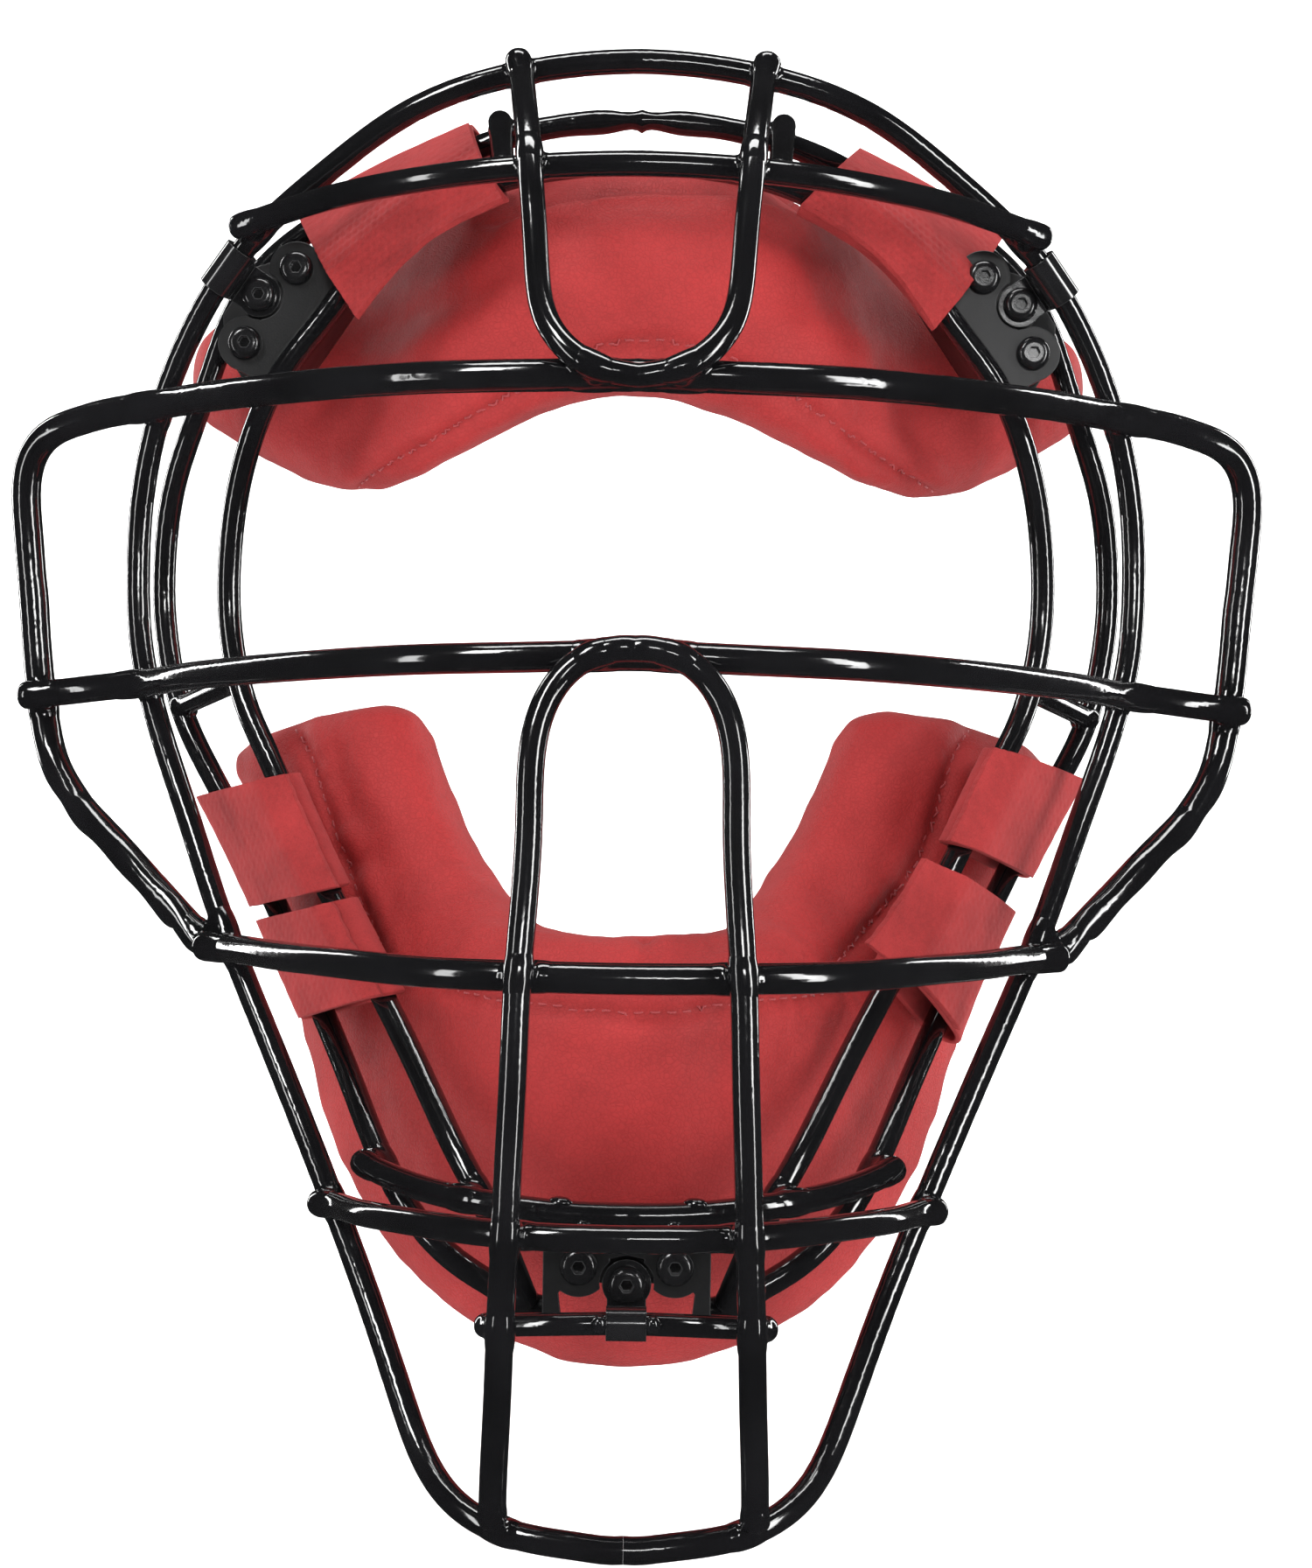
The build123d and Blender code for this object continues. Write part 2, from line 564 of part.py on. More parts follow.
with BuildPart() as lug_nuts:
    for gx, gz, gy in studs_all:
        with Locations(Plane(origin=(gx, gy + sheet + float_gap + float_t, gz), x_dir=(1, 0, 0), z_dir=(0, -1, 0)).location):
            add(nut_master.part)
lug_nuts.part.label = "lug_lock_nuts"

spring_start_upper = upper_front_y + sheet + float_gap + float_t + spring_wire / 2 + 0.05
spring_start_chin = chin_front_y + sheet + float_gap + float_t + spring_wire / 2 + 0.05
with BuildPart() as springs_right:
    for gx, gz in guides_upper:
        with Locations(Plane(origin=(gx, spring_start_upper, gz), x_dir=(1, 0, 0), z_dir=(0, 1, 0)).location):
            add(spring_upper_master.part)
springs_right.part.label = "isolator_springs_right"

with BuildPart() as springs_left:
    for gx, gz in guides_upper:
        with Locations(Plane(origin=(-gx, spring_start_upper, gz), x_dir=(1, 0, 0), z_dir=(0, 1, 0)).location):
            add(spring_upper_master.part)
springs_left.part.label = "isolator_springs_left"

with BuildPart() as springs_chin:
    for gx in (-guide_chin[0], guide_chin[0]):
        with Locations(Plane(origin=(gx, spring_start_chin, guide_chin[1]), x_dir=(1, 0, 0), z_dir=(0, 1, 0)).location):
            add(spring_chin_master.part)
springs_chin.part.label = "isolator_springs_chin"

# ====================================================================== pads
with BuildPart() as forehead_pad:
    for x, section in forehead_sections:
        with BuildSketch(Plane.YZ.offset(x)):
            with BuildLine():
                Spline(*section, periodic=True)
            make_face()
    loft()
    mirror(about=Plane.YZ)
forehead_pad.part.label = "forehead_pad"

with BuildPart() as chin_pad:
    for middle, width_dir, run_dir, width, depth in chin_stations:
        with BuildSketch(Plane(origin=middle, x_dir=width_dir, z_dir=run_dir)):
            RectangleRounded(width, depth, depth * 0.42)
    loft()
    mirror(about=Plane.YZ)
chin_pad.part.label = "chin_and_cheek_pad"

# ==================================================================== straps
with BuildPart() as upper_strap_right:
    for front, rear in zip(upper_strap_front, upper_strap_rear):
        with BuildSketch(strap_plane(front, rear, upper_strap_dir)):
            gap = (Vector(*rear) - Vector(*front)).length
            with Locations((gap / 2, 0)):
                SlotCenterToCenter(gap, 2 * (rim_d / 2 + 0.9 + strap_t))
    loft()
    for front, rear in zip(upper_strap_front, upper_strap_rear):
        with BuildSketch(strap_plane(front, rear, upper_strap_dir)):
            gap = (Vector(*rear) - Vector(*front)).length
            with Locations((gap / 2, 0)):
                SlotCenterToCenter(gap, 2 * (rim_d / 2 + 0.9))
    loft(mode=Mode.SUBTRACT)
upper_strap_right.part.label = "upper_strap_right"

with BuildPart() as cheek_strap_right:
    for front, rear in zip(cheek_strap_right_front, cheek_strap_right_rear):
        with BuildSketch(strap_plane(front, rear, cheek_strap_right_dir)):
            gap = (Vector(*rear) - Vector(*front)).length
            with Locations((gap / 2, 0)):
                SlotCenterToCenter(gap, 2 * (rim_d / 2 + 0.85 + strap_t))
    loft()
    for front, rear in zip(cheek_strap_right_front, cheek_strap_right_rear):
        with BuildSketch(strap_plane(front, rear, cheek_strap_right_dir)):
            gap = (Vector(*rear) - Vector(*front)).length
            with Locations((gap / 2, 0)):
                SlotCenterToCenter(gap, 2 * (rim_d / 2 + 0.85))
    loft(mode=Mode.SUBTRACT)
cheek_strap_right.part.label = "cheek_strap_right"

with BuildPart() as cheek_strap_left:
    for front, rear in zip(cheek_strap_left_front, cheek_strap_left_rear):
        with BuildSketch(strap_plane(front, rear, cheek_strap_left_dir)):
            gap = (Vector(*rear) - Vector(*front)).length
            with Locations((gap / 2, 0)):
                SlotCenterToCenter(gap, 2 * (rim_d / 2 + 0.85 + strap_t))
    loft()
    for front, rear in zip(cheek_strap_left_front, cheek_strap_left_rear):
        with BuildSketch(strap_plane(front, rear, cheek_strap_left_dir)):
            gap = (Vector(*rear) - Vector(*front)).length
            with Locations((gap / 2, 0)):
                SlotCenterToCenter(gap, 2 * (rim_d / 2 + 0.85))
    loft(mode=Mode.SUBTRACT)
cheek_strap_left.part.label = "cheek_strap_left"

with BuildPart() as jaw_strap_right:
    for front, rear in zip(jaw_strap_right_front, jaw_strap_right_rear):
        with BuildSketch(strap_plane(front, rear, jaw_strap_right_dir)):
            gap = (Vector(*rear) - Vector(*front)).length
            with Locations((gap / 2, 0)):
                SlotCenterToCenter(gap, 2 * (rim_d / 2 + 0.85 + strap_t))
    loft()
    for front, rear in zip(jaw_strap_right_front, jaw_strap_right_rear):
        with BuildSketch(strap_plane(front, rear, jaw_strap_right_dir)):
            gap = (Vector(*rear) - Vector(*front)).length
            with Locations((gap / 2, 0)):
                SlotCenterToCenter(gap, 2 * (rim_d / 2 + 0.85))
    loft(mode=Mode.SUBTRACT)
jaw_strap_right.part.label = "jaw_strap_right"

with BuildPart() as jaw_strap_left:
    for front, rear in zip(jaw_strap_left_front, jaw_strap_left_rear):
        with BuildSketch(strap_plane(front, rear, jaw_strap_left_dir)):
            gap = (Vector(*rear) - Vector(*front)).length
            with Locations((gap / 2, 0)):
                SlotCenterToCenter(gap, 2 * (rim_d / 2 + 0.85 + strap_t))
    loft()
    for front, rear in zip(jaw_strap_left_front, jaw_strap_left_rear):
        with BuildSketch(strap_plane(front, rear, jaw_strap_left_dir)):
            gap = (Vector(*rear) - Vector(*front)).length
            with Locations((gap / 2, 0)):
                SlotCenterToCenter(gap, 2 * (rim_d / 2 + 0.85))
    loft(mode=Mode.SUBTRACT)
jaw_strap_left.part.label = "jaw_strap_left"

with BuildPart() as upper_strap_left:
    mirror(upper_strap_right.part, about=Plane.YZ)
upper_strap_left.part.label = "upper_strap_left"

# ==================================================================== export
# The row's origin is the centre of the assembly's bounding box.
pieces = (
    rim_wire, brow_wire, eye_bar, cheek_bar, chin_bar, forehead_bar, crown_wire, nose_wire, mount_wire,
    lug_left, lug_right, lug_chin, lug_screws, lug_nuts, float_left, float_right, float_chin,
    front_loop, rear_loop, inner_bar, side_strut_left, side_strut_right, top_hook_left, top_hook_right,
    bracket_left, bracket_right, bracket_chin, guide_screws, guide_washers, guide_nuts,
    springs_left, springs_right, springs_chin, forehead_pad, chin_pad,
    upper_strap_left, upper_strap_right, cheek_strap_left, cheek_strap_right, jaw_strap_left, jaw_strap_right)
boxes = [piece.part.bounding_box() for piece in pieces]
mid_y = (min(box.min.Y for box in boxes) + max(box.max.Y for box in boxes)) / 2
mid_z = (min(box.min.Z for box in boxes) + max(box.max.Z for box in boxes)) / 2
for piece in pieces:
    placed = piece.part.moved(Location((0, -mid_y, -mid_z)))
    placed.label = piece.part.label
    export_step(placed, f"parts/{placed.label}.step")
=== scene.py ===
"""Looks of the catcher's mask: pads, straps, weld fillets, springs and all materials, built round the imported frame."""
import json
import math

import bmesh
import bpy
import numpy as np
from mathutils import Matrix, Vector, noise
from mathutils.bvhtree import BVHTree
from mathutils.kdtree import KDTree


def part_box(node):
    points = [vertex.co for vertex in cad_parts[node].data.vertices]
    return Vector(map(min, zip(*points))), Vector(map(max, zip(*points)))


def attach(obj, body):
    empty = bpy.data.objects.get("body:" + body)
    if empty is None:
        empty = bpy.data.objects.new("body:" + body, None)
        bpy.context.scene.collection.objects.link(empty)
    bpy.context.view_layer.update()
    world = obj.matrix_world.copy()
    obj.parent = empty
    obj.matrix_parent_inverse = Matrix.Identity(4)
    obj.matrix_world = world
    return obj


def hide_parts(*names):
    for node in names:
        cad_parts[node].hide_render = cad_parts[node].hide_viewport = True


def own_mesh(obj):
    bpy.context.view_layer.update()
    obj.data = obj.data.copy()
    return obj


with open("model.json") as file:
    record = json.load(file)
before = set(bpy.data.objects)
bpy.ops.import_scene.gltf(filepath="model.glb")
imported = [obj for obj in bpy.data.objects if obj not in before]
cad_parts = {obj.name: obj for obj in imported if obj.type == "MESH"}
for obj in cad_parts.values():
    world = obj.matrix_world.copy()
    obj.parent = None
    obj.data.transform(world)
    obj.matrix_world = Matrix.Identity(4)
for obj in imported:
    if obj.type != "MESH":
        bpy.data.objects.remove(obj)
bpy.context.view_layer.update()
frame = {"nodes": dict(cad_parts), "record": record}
nodes = frame["nodes"]
MM = 0.001

# Every length below is in millimetres in the mask's design frame; OFF takes it to the row's frame.
OFF = np.array([0.0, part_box("float_plate_right")[0].y / MM + 1.0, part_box("isolator_bracket_chin")[0].z / MM + 99.3])

# Camera of the reference view, in millimetres and in units of the 1500 x 1792 frame.
EYE_Y, FOCAL, CENTRE_U, CENTRE_V, ROLL = -540.0, 3038.0, 724.0, 896.0, math.radians(0.76)


def at_depth(u, v, y):
    """Point in millimetres seen at frame position (u, v) at depth y."""
    a, b = u - CENTRE_U, CENTRE_V - v
    c, s = math.cos(ROLL), math.sin(ROLL)
    a, b = a * c - b * s, a * s + b * c
    k = (y - EYE_Y) / FOCAL
    return np.array([a * k, y, b * k])


def to_frame(points):
    """Frame positions of points in millimetres."""
    p = np.asarray(points, float)
    k = FOCAL / (p[:, 1] - EYE_Y)
    a, b = p[:, 0] * k, p[:, 2] * k
    c, s = math.cos(ROLL), math.sin(ROLL)
    return np.stack([CENTRE_U + a * c + b * s, CENTRE_V - (-a * s + b * c)], 1)


# ------------------------------------------------------------------ mesh helpers
def new_object(name, verts_mm, faces, material=None, smooth=True):
    mesh = bpy.data.meshes.new(name)
    mesh.from_pydata([tuple((np.asarray(v, float) + OFF) * MM) for v in verts_mm], [], [tuple(int(i) for i in f) for f in faces])
    mesh.update()
    bm = bmesh.new()
    bm.from_mesh(mesh)
    bmesh.ops.recalc_face_normals(bm, faces=bm.faces)
    bm.to_mesh(mesh)
    bm.free()
    obj = bpy.data.objects.new(name, mesh)
    bpy.context.scene.collection.objects.link(obj)
    if material:
        mesh.materials.append(material)
    if smooth:
        mesh.shade_smooth()
    return obj


def coords(obj):
    co = np.empty(len(obj.data.vertices) * 3)
    obj.data.vertices.foreach_get("co", co)
    return co.reshape(-1, 3) / MM - OFF


def set_coords(obj, co_mm):
    obj.data.vertices.foreach_set("co", ((np.asarray(co_mm, float) + OFF) * MM).astype(np.float32).ravel())
    obj.data.update()


def normals(obj):
    out = np.empty(len(obj.data.vertices) * 3)
    obj.data.vertex_normals.foreach_get("vector", out)
    return out.reshape(-1, 3)


def bake(obj):
    """Applies every modifier on obj."""
    dg = bpy.context.evaluated_depsgraph_get()
    mesh = bpy.data.meshes.new_from_object(obj.evaluated_get(dg), depsgraph=dg)
    mats = [m for m in obj.data.materials]
    obj.modifiers.clear()
    obj.data = mesh
    if mats and not len(mesh.materials):
        for m in mats:
            mesh.materials.append(m)
    mesh.shade_smooth()
    return obj


def rings_mesh(rings, closed_caps=True):
    """Vertices and faces of a tube through rings of equal point count, ends closed by a centre point."""
    n = len(rings[0])
    verts = [p for r in rings for p in r]
    faces = []
    for i in range(len(rings) - 1):
        for j in range(n):
            k = (j + 1) % n
            faces.append((i * n + j, i * n + k, (i + 1) * n + k, (i + 1) * n + j))
    if closed_caps:
        for row in (0, len(rings) - 1):
            c = len(verts)
            verts.append(np.mean(rings[row], axis=0))
            for j in range(n):
                faces.append((row * n + j, row * n + (j + 1) % n, c))
    return verts, faces


def natural_cubic(t, y, at):
    """Natural cubic spline through (t, y) evaluated at at; y may have many columns."""
    t, y, at = np.asarray(t, float), np.asarray(y, float), np.asarray(at, float)
    n = len(t)
    h = np.diff(t)
    m = np.zeros((n, n))
    r = np.zeros((n,) + y.shape[1:])
    m[0, 0] = m[-1, -1] = 1
    for i in range(1, n - 1):
        m[i, i - 1], m[i, i], m[i, i + 1] = h[i - 1], 2 * (h[i - 1] + h[i]), h[i]
        r[i] = 6 * ((y[i + 1] - y[i]) / h[i] - (y[i] - y[i - 1]) / h[i - 1])
    d = np.linalg.solve(m, r.reshape(n, -1)).reshape(r.shape)
    out = []
    for a in at:
        i = int(np.clip(np.searchsorted(t, a) - 1, 0, n - 2))
        p, q = (t[i + 1] - a) / h[i], (a - t[i]) / h[i]
        out.append(p * y[i] + q * y[i + 1] + ((p**3 - p) * d[i] + (q**3 - q) * d[i + 1]) * h[i] ** 2 / 6)
    return np.array(out)


def resample(points, step=0.8, closed=False):
    """Even points along a polyline after smoothing it into a spline."""
    p = np.asarray(points, float)
    if closed:
        p = np.vstack([p, p[:1]])
    t = np.concatenate([[0], np.cumsum(np.linalg.norm(np.diff(p, axis=0), axis=1))])
    fine = natural_cubic(t, p, np.linspace(0, t[-1], max(8, int(t[-1] / step * 2))))
    s = np.concatenate([[0], np.cumsum(np.linalg.norm(np.diff(fine, axis=0), axis=1))])
    at = np.linspace(0, s[-1], max(3, int(round(s[-1] / step)) + 1))
    return np.stack([np.interp(at, s, fine[:, k]) for k in range(p.shape[1])], 1)


def capsule_rings(path, radii, sides=14):
    """Rings round a path, with parallel-transported axes."""
    path = np.asarray(path, float)
    run = np.gradient(path, axis=0)
    run /= np.linalg.norm(run, axis=1)[:, None]
    side = np.cross(run[0], [0.3, 1, 0.2])
    side /= np.linalg.norm(side)
    rings = []
    for p, d, r in zip(path, run, radii):
        side = side - d * side.dot(d)
        side /= np.linalg.norm(side)
        up = np.cross(d, side)
        a = np.linspace(0, 2 * math.pi, sides, endpoint=False)
        rings.append(p + r * (np.cos(a)[:, None] * side + np.sin(a)[:, None] * up))
    return rings


# --------------------------------------------------------------------- materials
def principled(name):
    mat = bpy.data.materials.new(name)
    mat.use_nodes = True
    nt = mat.node_tree
    return mat, nt, nt.nodes["Principled BSDF"]


def link(nt, a, b):
    nt.links.new(a, b)


def node(nt, kind, **values):
    n = nt.nodes.new(kind)
    for k, v in values.items():
        if k in n.inputs:
            n.inputs[k].default_value = v
        else:
            setattr(n, k, v)
    return n


def where(nt, scale=1.0):
    """Object position in metres; scale is not used."""
    co = node(nt, "ShaderNodeTexCoord")
    return co.outputs["Object"]


def ramp(nt, source, low, high, a=0.3, b=0.7):
    r = node(nt, "ShaderNodeValToRGB")
    r.color_ramp.elements[0].position, r.color_ramp.elements[1].position = a, b
    r.color_ramp.elements[0].color, r.color_ramp.elements[1].color = low, high
    link(nt, source, r.inputs["Fac"])
    return r.outputs["Color"]


def bump(nt, bsdf, height, distance, strength=1.0, before=None):
    b = node(nt, "ShaderNodeBump", Strength=strength, Distance=distance)
    link(nt, height, b.inputs["Height"])
    if before is not None:
        link(nt, before, b.inputs["Normal"])
    link(nt, b.outputs["Normal"], bsdf.inputs["Normal"])
    return b.outputs["Normal"]


def coated_metal(name, base, rough, coat, peel_scale=260.0, peel_mm=0.02, edge=(0.05, 0.05, 0.052), fleck=0.0):
    mat, nt, bsdf = principled(name)
    pos = where(nt)
    tone = node(nt, "ShaderNodeTexNoise", Scale=38.0, Detail=4.0, Roughness=0.6)
    link(nt, pos, tone.inputs["Vector"])
    col = ramp(nt, tone.outputs["Fac"], (*[c * 0.7 for c in base], 1), (*[c * 1.5 for c in base], 1))
    round_edge = node(nt, "ShaderNodeBevel", Radius=0.35 * MM)
    round_edge.samples = 6
    geo = node(nt, "ShaderNodeNewGeometry")
    dot = node(nt, "ShaderNodeVectorMath", operation="DOT_PRODUCT")
    link(nt, round_edge.outputs["Normal"], dot.inputs[0])
    link(nt, geo.outputs["Normal"], dot.inputs[1])
    # Painted highlight: where the bevelled normal leans away from the face normal, the colour is mixed toward the
    # lighter edge colour, a painted highlight along every edge.
    edge_highlight_mask = node(nt, "ShaderNodeValToRGB")
    edge_highlight_mask.color_ramp.elements[0].position, edge_highlight_mask.color_ramp.elements[1].position = 0.80, 0.985
    edge_highlight_mask.color_ramp.elements[0].color, edge_highlight_mask.color_ramp.elements[1].color = (0.8, 0.8, 0.8, 1), (0, 0, 0, 1)
    link(nt, dot.outputs["Value"], edge_highlight_mask.inputs["Fac"])
    mix = node(nt, "ShaderNodeMixRGB")
    link(nt, edge_highlight_mask.outputs["Color"], mix.inputs["Fac"])
    link(nt, col, mix.inputs["Color1"])
    mix.inputs["Color2"].default_value = (*edge, 1)
    link(nt, mix.outputs["Color"], bsdf.inputs["Base Color"])
    rough_noise = node(nt, "ShaderNodeTexNoise", Scale=90.0, Detail=5.0, Roughness=0.65)
    link(nt, pos, rough_noise.inputs["Vector"])
    rr = node(nt, "ShaderNodeMapRange")
    rr.inputs["To Min"].default_value, rr.inputs["To Max"].default_value = rough * 0.75, rough * 1.3
    link(nt, rough_noise.outputs["Fac"], rr.inputs["Value"])
    link(nt, rr.outputs["Result"], bsdf.inputs["Roughness"])
    peel = node(nt, "ShaderNodeTexNoise", Scale=peel_scale, Detail=2.0, Roughness=0.5)
    link(nt, pos, peel.inputs["Vector"])
    n1 = bump(nt, bsdf, peel.outputs["Fac"], peel_mm * MM * 6, 0.35, round_edge.outputs["Normal"])
    if fleck:
        grain = node(nt, "ShaderNodeTexNoise", Scale=2600.0, Detail=3.0, Roughness=0.7)
        link(nt, pos, grain.inputs["Vector"])
        bump(nt, bsdf, grain.outputs["Fac"], fleck * MM, 0.6, n1)
    bsdf.inputs["Coat Weight"].default_value = coat
    bsdf.inputs["Coat Roughness"].default_value = rough * 0.5
    bsdf.inputs["IOR"].default_value = 1.5
    return mat


def vinyl(name, base):
    """Soft-grain red cover: fine pebble grain, faint creases, mottled tone, low sheen; painted shade darkens the
    grain's grooves and the hollows.
    """
    mat, nt, bsdf = principled(name)
    pos = where(nt)
    tone = node(nt, "ShaderNodeTexNoise", Scale=22.0, Detail=6.0, Roughness=0.62, Distortion=0.6)
    link(nt, pos, tone.inputs["Vector"])
    dark, light = tuple(c * 0.8 for c in base), tuple(min(1, c * 1.16) for c in base)
    col = ramp(nt, tone.outputs["Fac"], (*dark, 1), (*light, 1), 0.32, 0.7)
    grain = node(nt, "ShaderNodeTexVoronoi", Scale=1150.0, feature="DISTANCE_TO_EDGE")
    warp = node(nt, "ShaderNodeTexNoise", Scale=420.0, Detail=2.0)
    link(nt, pos, warp.inputs["Vector"])
    add = node(nt, "ShaderNodeMixRGB", blend_type="ADD")
    add.inputs["Fac"].default_value = 0.002
    link(nt, pos, add.inputs["Color1"])
    link(nt, warp.outputs["Color"], add.inputs["Color2"])
    link(nt, add.outputs["Color"], grain.inputs["Vector"])
    cell = ramp(nt, grain.outputs["Distance"], (0, 0, 0, 1), (1, 1, 1, 1), 0.0, 0.16)
    # Painted shade: the colour is darkened along the pebble grain's grooves, where the grain bump sinks.
    grain_groove_shade = node(nt, "ShaderNodeMixRGB", blend_type="MULTIPLY")
    grain_groove_shade.inputs["Fac"].default_value = 0.16
    link(nt, col, grain_groove_shade.inputs["Color1"])
    link(nt, cell, grain_groove_shade.inputs["Color2"])
    # Painted shade: concave places (low pointiness), such as seams and folds, get a darker, slightly redder colour.
    geo = node(nt, "ShaderNodeNewGeometry")
    hollow_shade = ramp(nt, geo.outputs["Pointiness"], (0.74, 0.70, 0.70, 1), (1, 1, 1, 1), 0.40, 0.5)
    hollow_shade_mix = node(nt, "ShaderNodeMixRGB", blend_type="MULTIPLY")
    hollow_shade_mix.inputs["Fac"].default_value = 0.8
    link(nt, grain_groove_shade.outputs["Color"], hollow_shade_mix.inputs["Color1"])
    link(nt, hollow_shade, hollow_shade_mix.inputs["Color2"])
    link(nt, hollow_shade_mix.outputs["Color"], bsdf.inputs["Base Color"])
    n1 = bump(nt, bsdf, cell, 0.10 * MM, 0.5)
    soft = node(nt, "ShaderNodeTexNoise", Scale=70.0, Detail=4.0, Roughness=0.55, Distortion=1.2)
    link(nt, pos, soft.inputs["Vector"])
    bump(nt, bsdf, soft.outputs["Fac"], 1.1 * MM, 0.28, n1)
    rr = node(nt, "ShaderNodeMapRange")
    rr.inputs["To Min"].default_value, rr.inputs["To Max"].default_value = 0.46, 0.66
    link(nt, tone.outputs["Fac"], rr.inputs["Value"])
    link(nt, rr.outputs["Result"], bsdf.inputs["Roughness"])
    bsdf.inputs["Sheen Weight"].default_value = 0.03
    bsdf.inputs["Sheen Roughness"].default_value = 0.5
    bsdf.inputs["Specular IOR Level"].default_value = 0.20
    return mat


def pile(name, base, dimple=True):
    """Hook-and-loop webbing: short fibres and a dimpled face."""
    mat, nt, bsdf = principled(name)
    pos = where(nt)
    tone = node(nt, "ShaderNodeTexNoise", Scale=60.0, Detail=7.0, Roughness=0.7)
    link(nt, pos, tone.inputs["Vector"])
    dark, light = tuple(c * 0.72 for c in base), tuple(min(1, c * 1.2) for c in base)
    col = ramp(nt, tone.outputs["Fac"], (*dark, 1), (*light, 1), 0.3, 0.72)
    fibre = node(nt, "ShaderNodeTexNoise", Scale=2100.0, Detail=4.0, Roughness=0.75, Distortion=2.0)
    link(nt, pos, fibre.inputs["Vector"])
    shade = ramp(nt, fibre.outputs["Fac"], (0.6, 0.58, 0.58, 1), (1.08, 1.05, 1.05, 1), 0.36, 0.62)
    mul = node(nt, "ShaderNodeMixRGB", blend_type="MULTIPLY")
    mul.inputs["Fac"].default_value = 0.65
    link(nt, col, mul.inputs["Color1"])
    link(nt, shade, mul.inputs["Color2"])
    link(nt, mul.outputs["Color"], bsdf.inputs["Base Color"])
    knit = node(nt, "ShaderNodeTexVoronoi", Scale=640.0, feature="SMOOTH_F1")
    link(nt, pos, knit.inputs["Vector"])
    n1 = bump(nt, bsdf, knit.outputs["Distance"], (0.35 if dimple else 0.15) * MM, 0.55)
    bump(nt, bsdf, fibre.outputs["Fac"], 0.22 * MM, 0.6, n1)
    bsdf.inputs["Roughness"].default_value = 0.86
    bsdf.inputs["Sheen Weight"].default_value = 0.12
    bsdf.inputs["Sheen Roughness"].default_value = 0.45
    bsdf.inputs["Sheen Tint"].default_value = (0.85, 0.2, 0.2, 1)
    bsdf.inputs["Specular IOR Level"].default_value = 0.25
    return mat


def thread_material(name, base):
    mat, nt, bsdf = principled(name)
    pos = where(nt)
    twist = node(nt, "ShaderNodeTexWave", Scale=900.0, Distortion=1.0)
    link(nt, pos, twist.inputs["Vector"])
    col = ramp(nt, twist.outputs["Fac"], (*[c * 0.75 for c in base], 1), (*base, 1), 0.2, 0.8)
    link(nt, col, bsdf.inputs["Base Color"])
    bump(nt, bsdf, twist.outputs["Fac"], 0.08 * MM, 0.5)
    bsdf.inputs["Roughness"].default_value = 0.6
    bsdf.inputs["Sheen Weight"].default_value = 0.3
    return mat


def spring_metal(name):
    mat, nt, bsdf = principled(name)
    pos = where(nt)
    draw = node(nt, "ShaderNodeTexNoise", Scale=500.0, Detail=4.0)
    link(nt, pos, draw.inputs["Vector"])
    link(nt, ramp(nt, draw.outputs["Fac"], (0.16, 0.16, 0.17, 1), (0.42, 0.42, 0.43, 1)), bsdf.inputs["Base Color"])
    bump(nt, bsdf, draw.outputs["Fac"], 0.02 * MM, 0.4)
    bsdf.inputs["Metallic"].default_value = 1.0
    bsdf.inputs["Roughness"].default_value = 0.3
    return mat


RED = (0.350, 0.0265, 0.0268)
wire_mat = coated_metal("gloss_black_coating", (0.004, 0.004, 0.0045), 0.11, 0.9, edge=(0.008, 0.008, 0.009))
plate_mat = coated_metal("satin_charcoal_plate", (0.0065, 0.0065, 0.0070), 0.36, 0.10, 420.0, 0.012, (0.05, 0.05, 0.052), 0.06)
lug_mat = coated_metal("gloss_lug", (0.006, 0.006, 0.0065), 0.14, 0.8, 300.0, 0.02, (0.05, 0.05, 0.05))
screw_mat = coated_metal("black_oxide_screw", (0.006, 0.006, 0.0065), 0.18, 0.5, 700.0, 0.01, (0.08, 0.08, 0.082), 0.03)
cover_mat = vinyl("red_soft_cover", RED)
strap_mat = pile("red_pile_webbing", (0.315, 0.0265, 0.0270))
strap_back_mat = pile("red_webbing_back", (0.300, 0.0250, 0.0255), False)
thread_mat = thread_material("red_thread", (0.40, 0.035, 0.04))
spring_mat = spring_metal("spring_wire")
slot_material = {"coated_wire": wire_mat, "bracket_plate": plate_mat, "lug_metal": lug_mat, "black_fastener": screw_mat,
                 "pad_cover": cover_mat, "strap_webbing": strap_mat, "spring_steel": spring_mat}
slot_of = {s["node"]: s["material_slot"] for s in frame["record"]["subparts"]}
for name, obj in nodes.items():
    obj.data.materials.clear()
    obj.data.materials.append(slot_material[slot_of[name]])

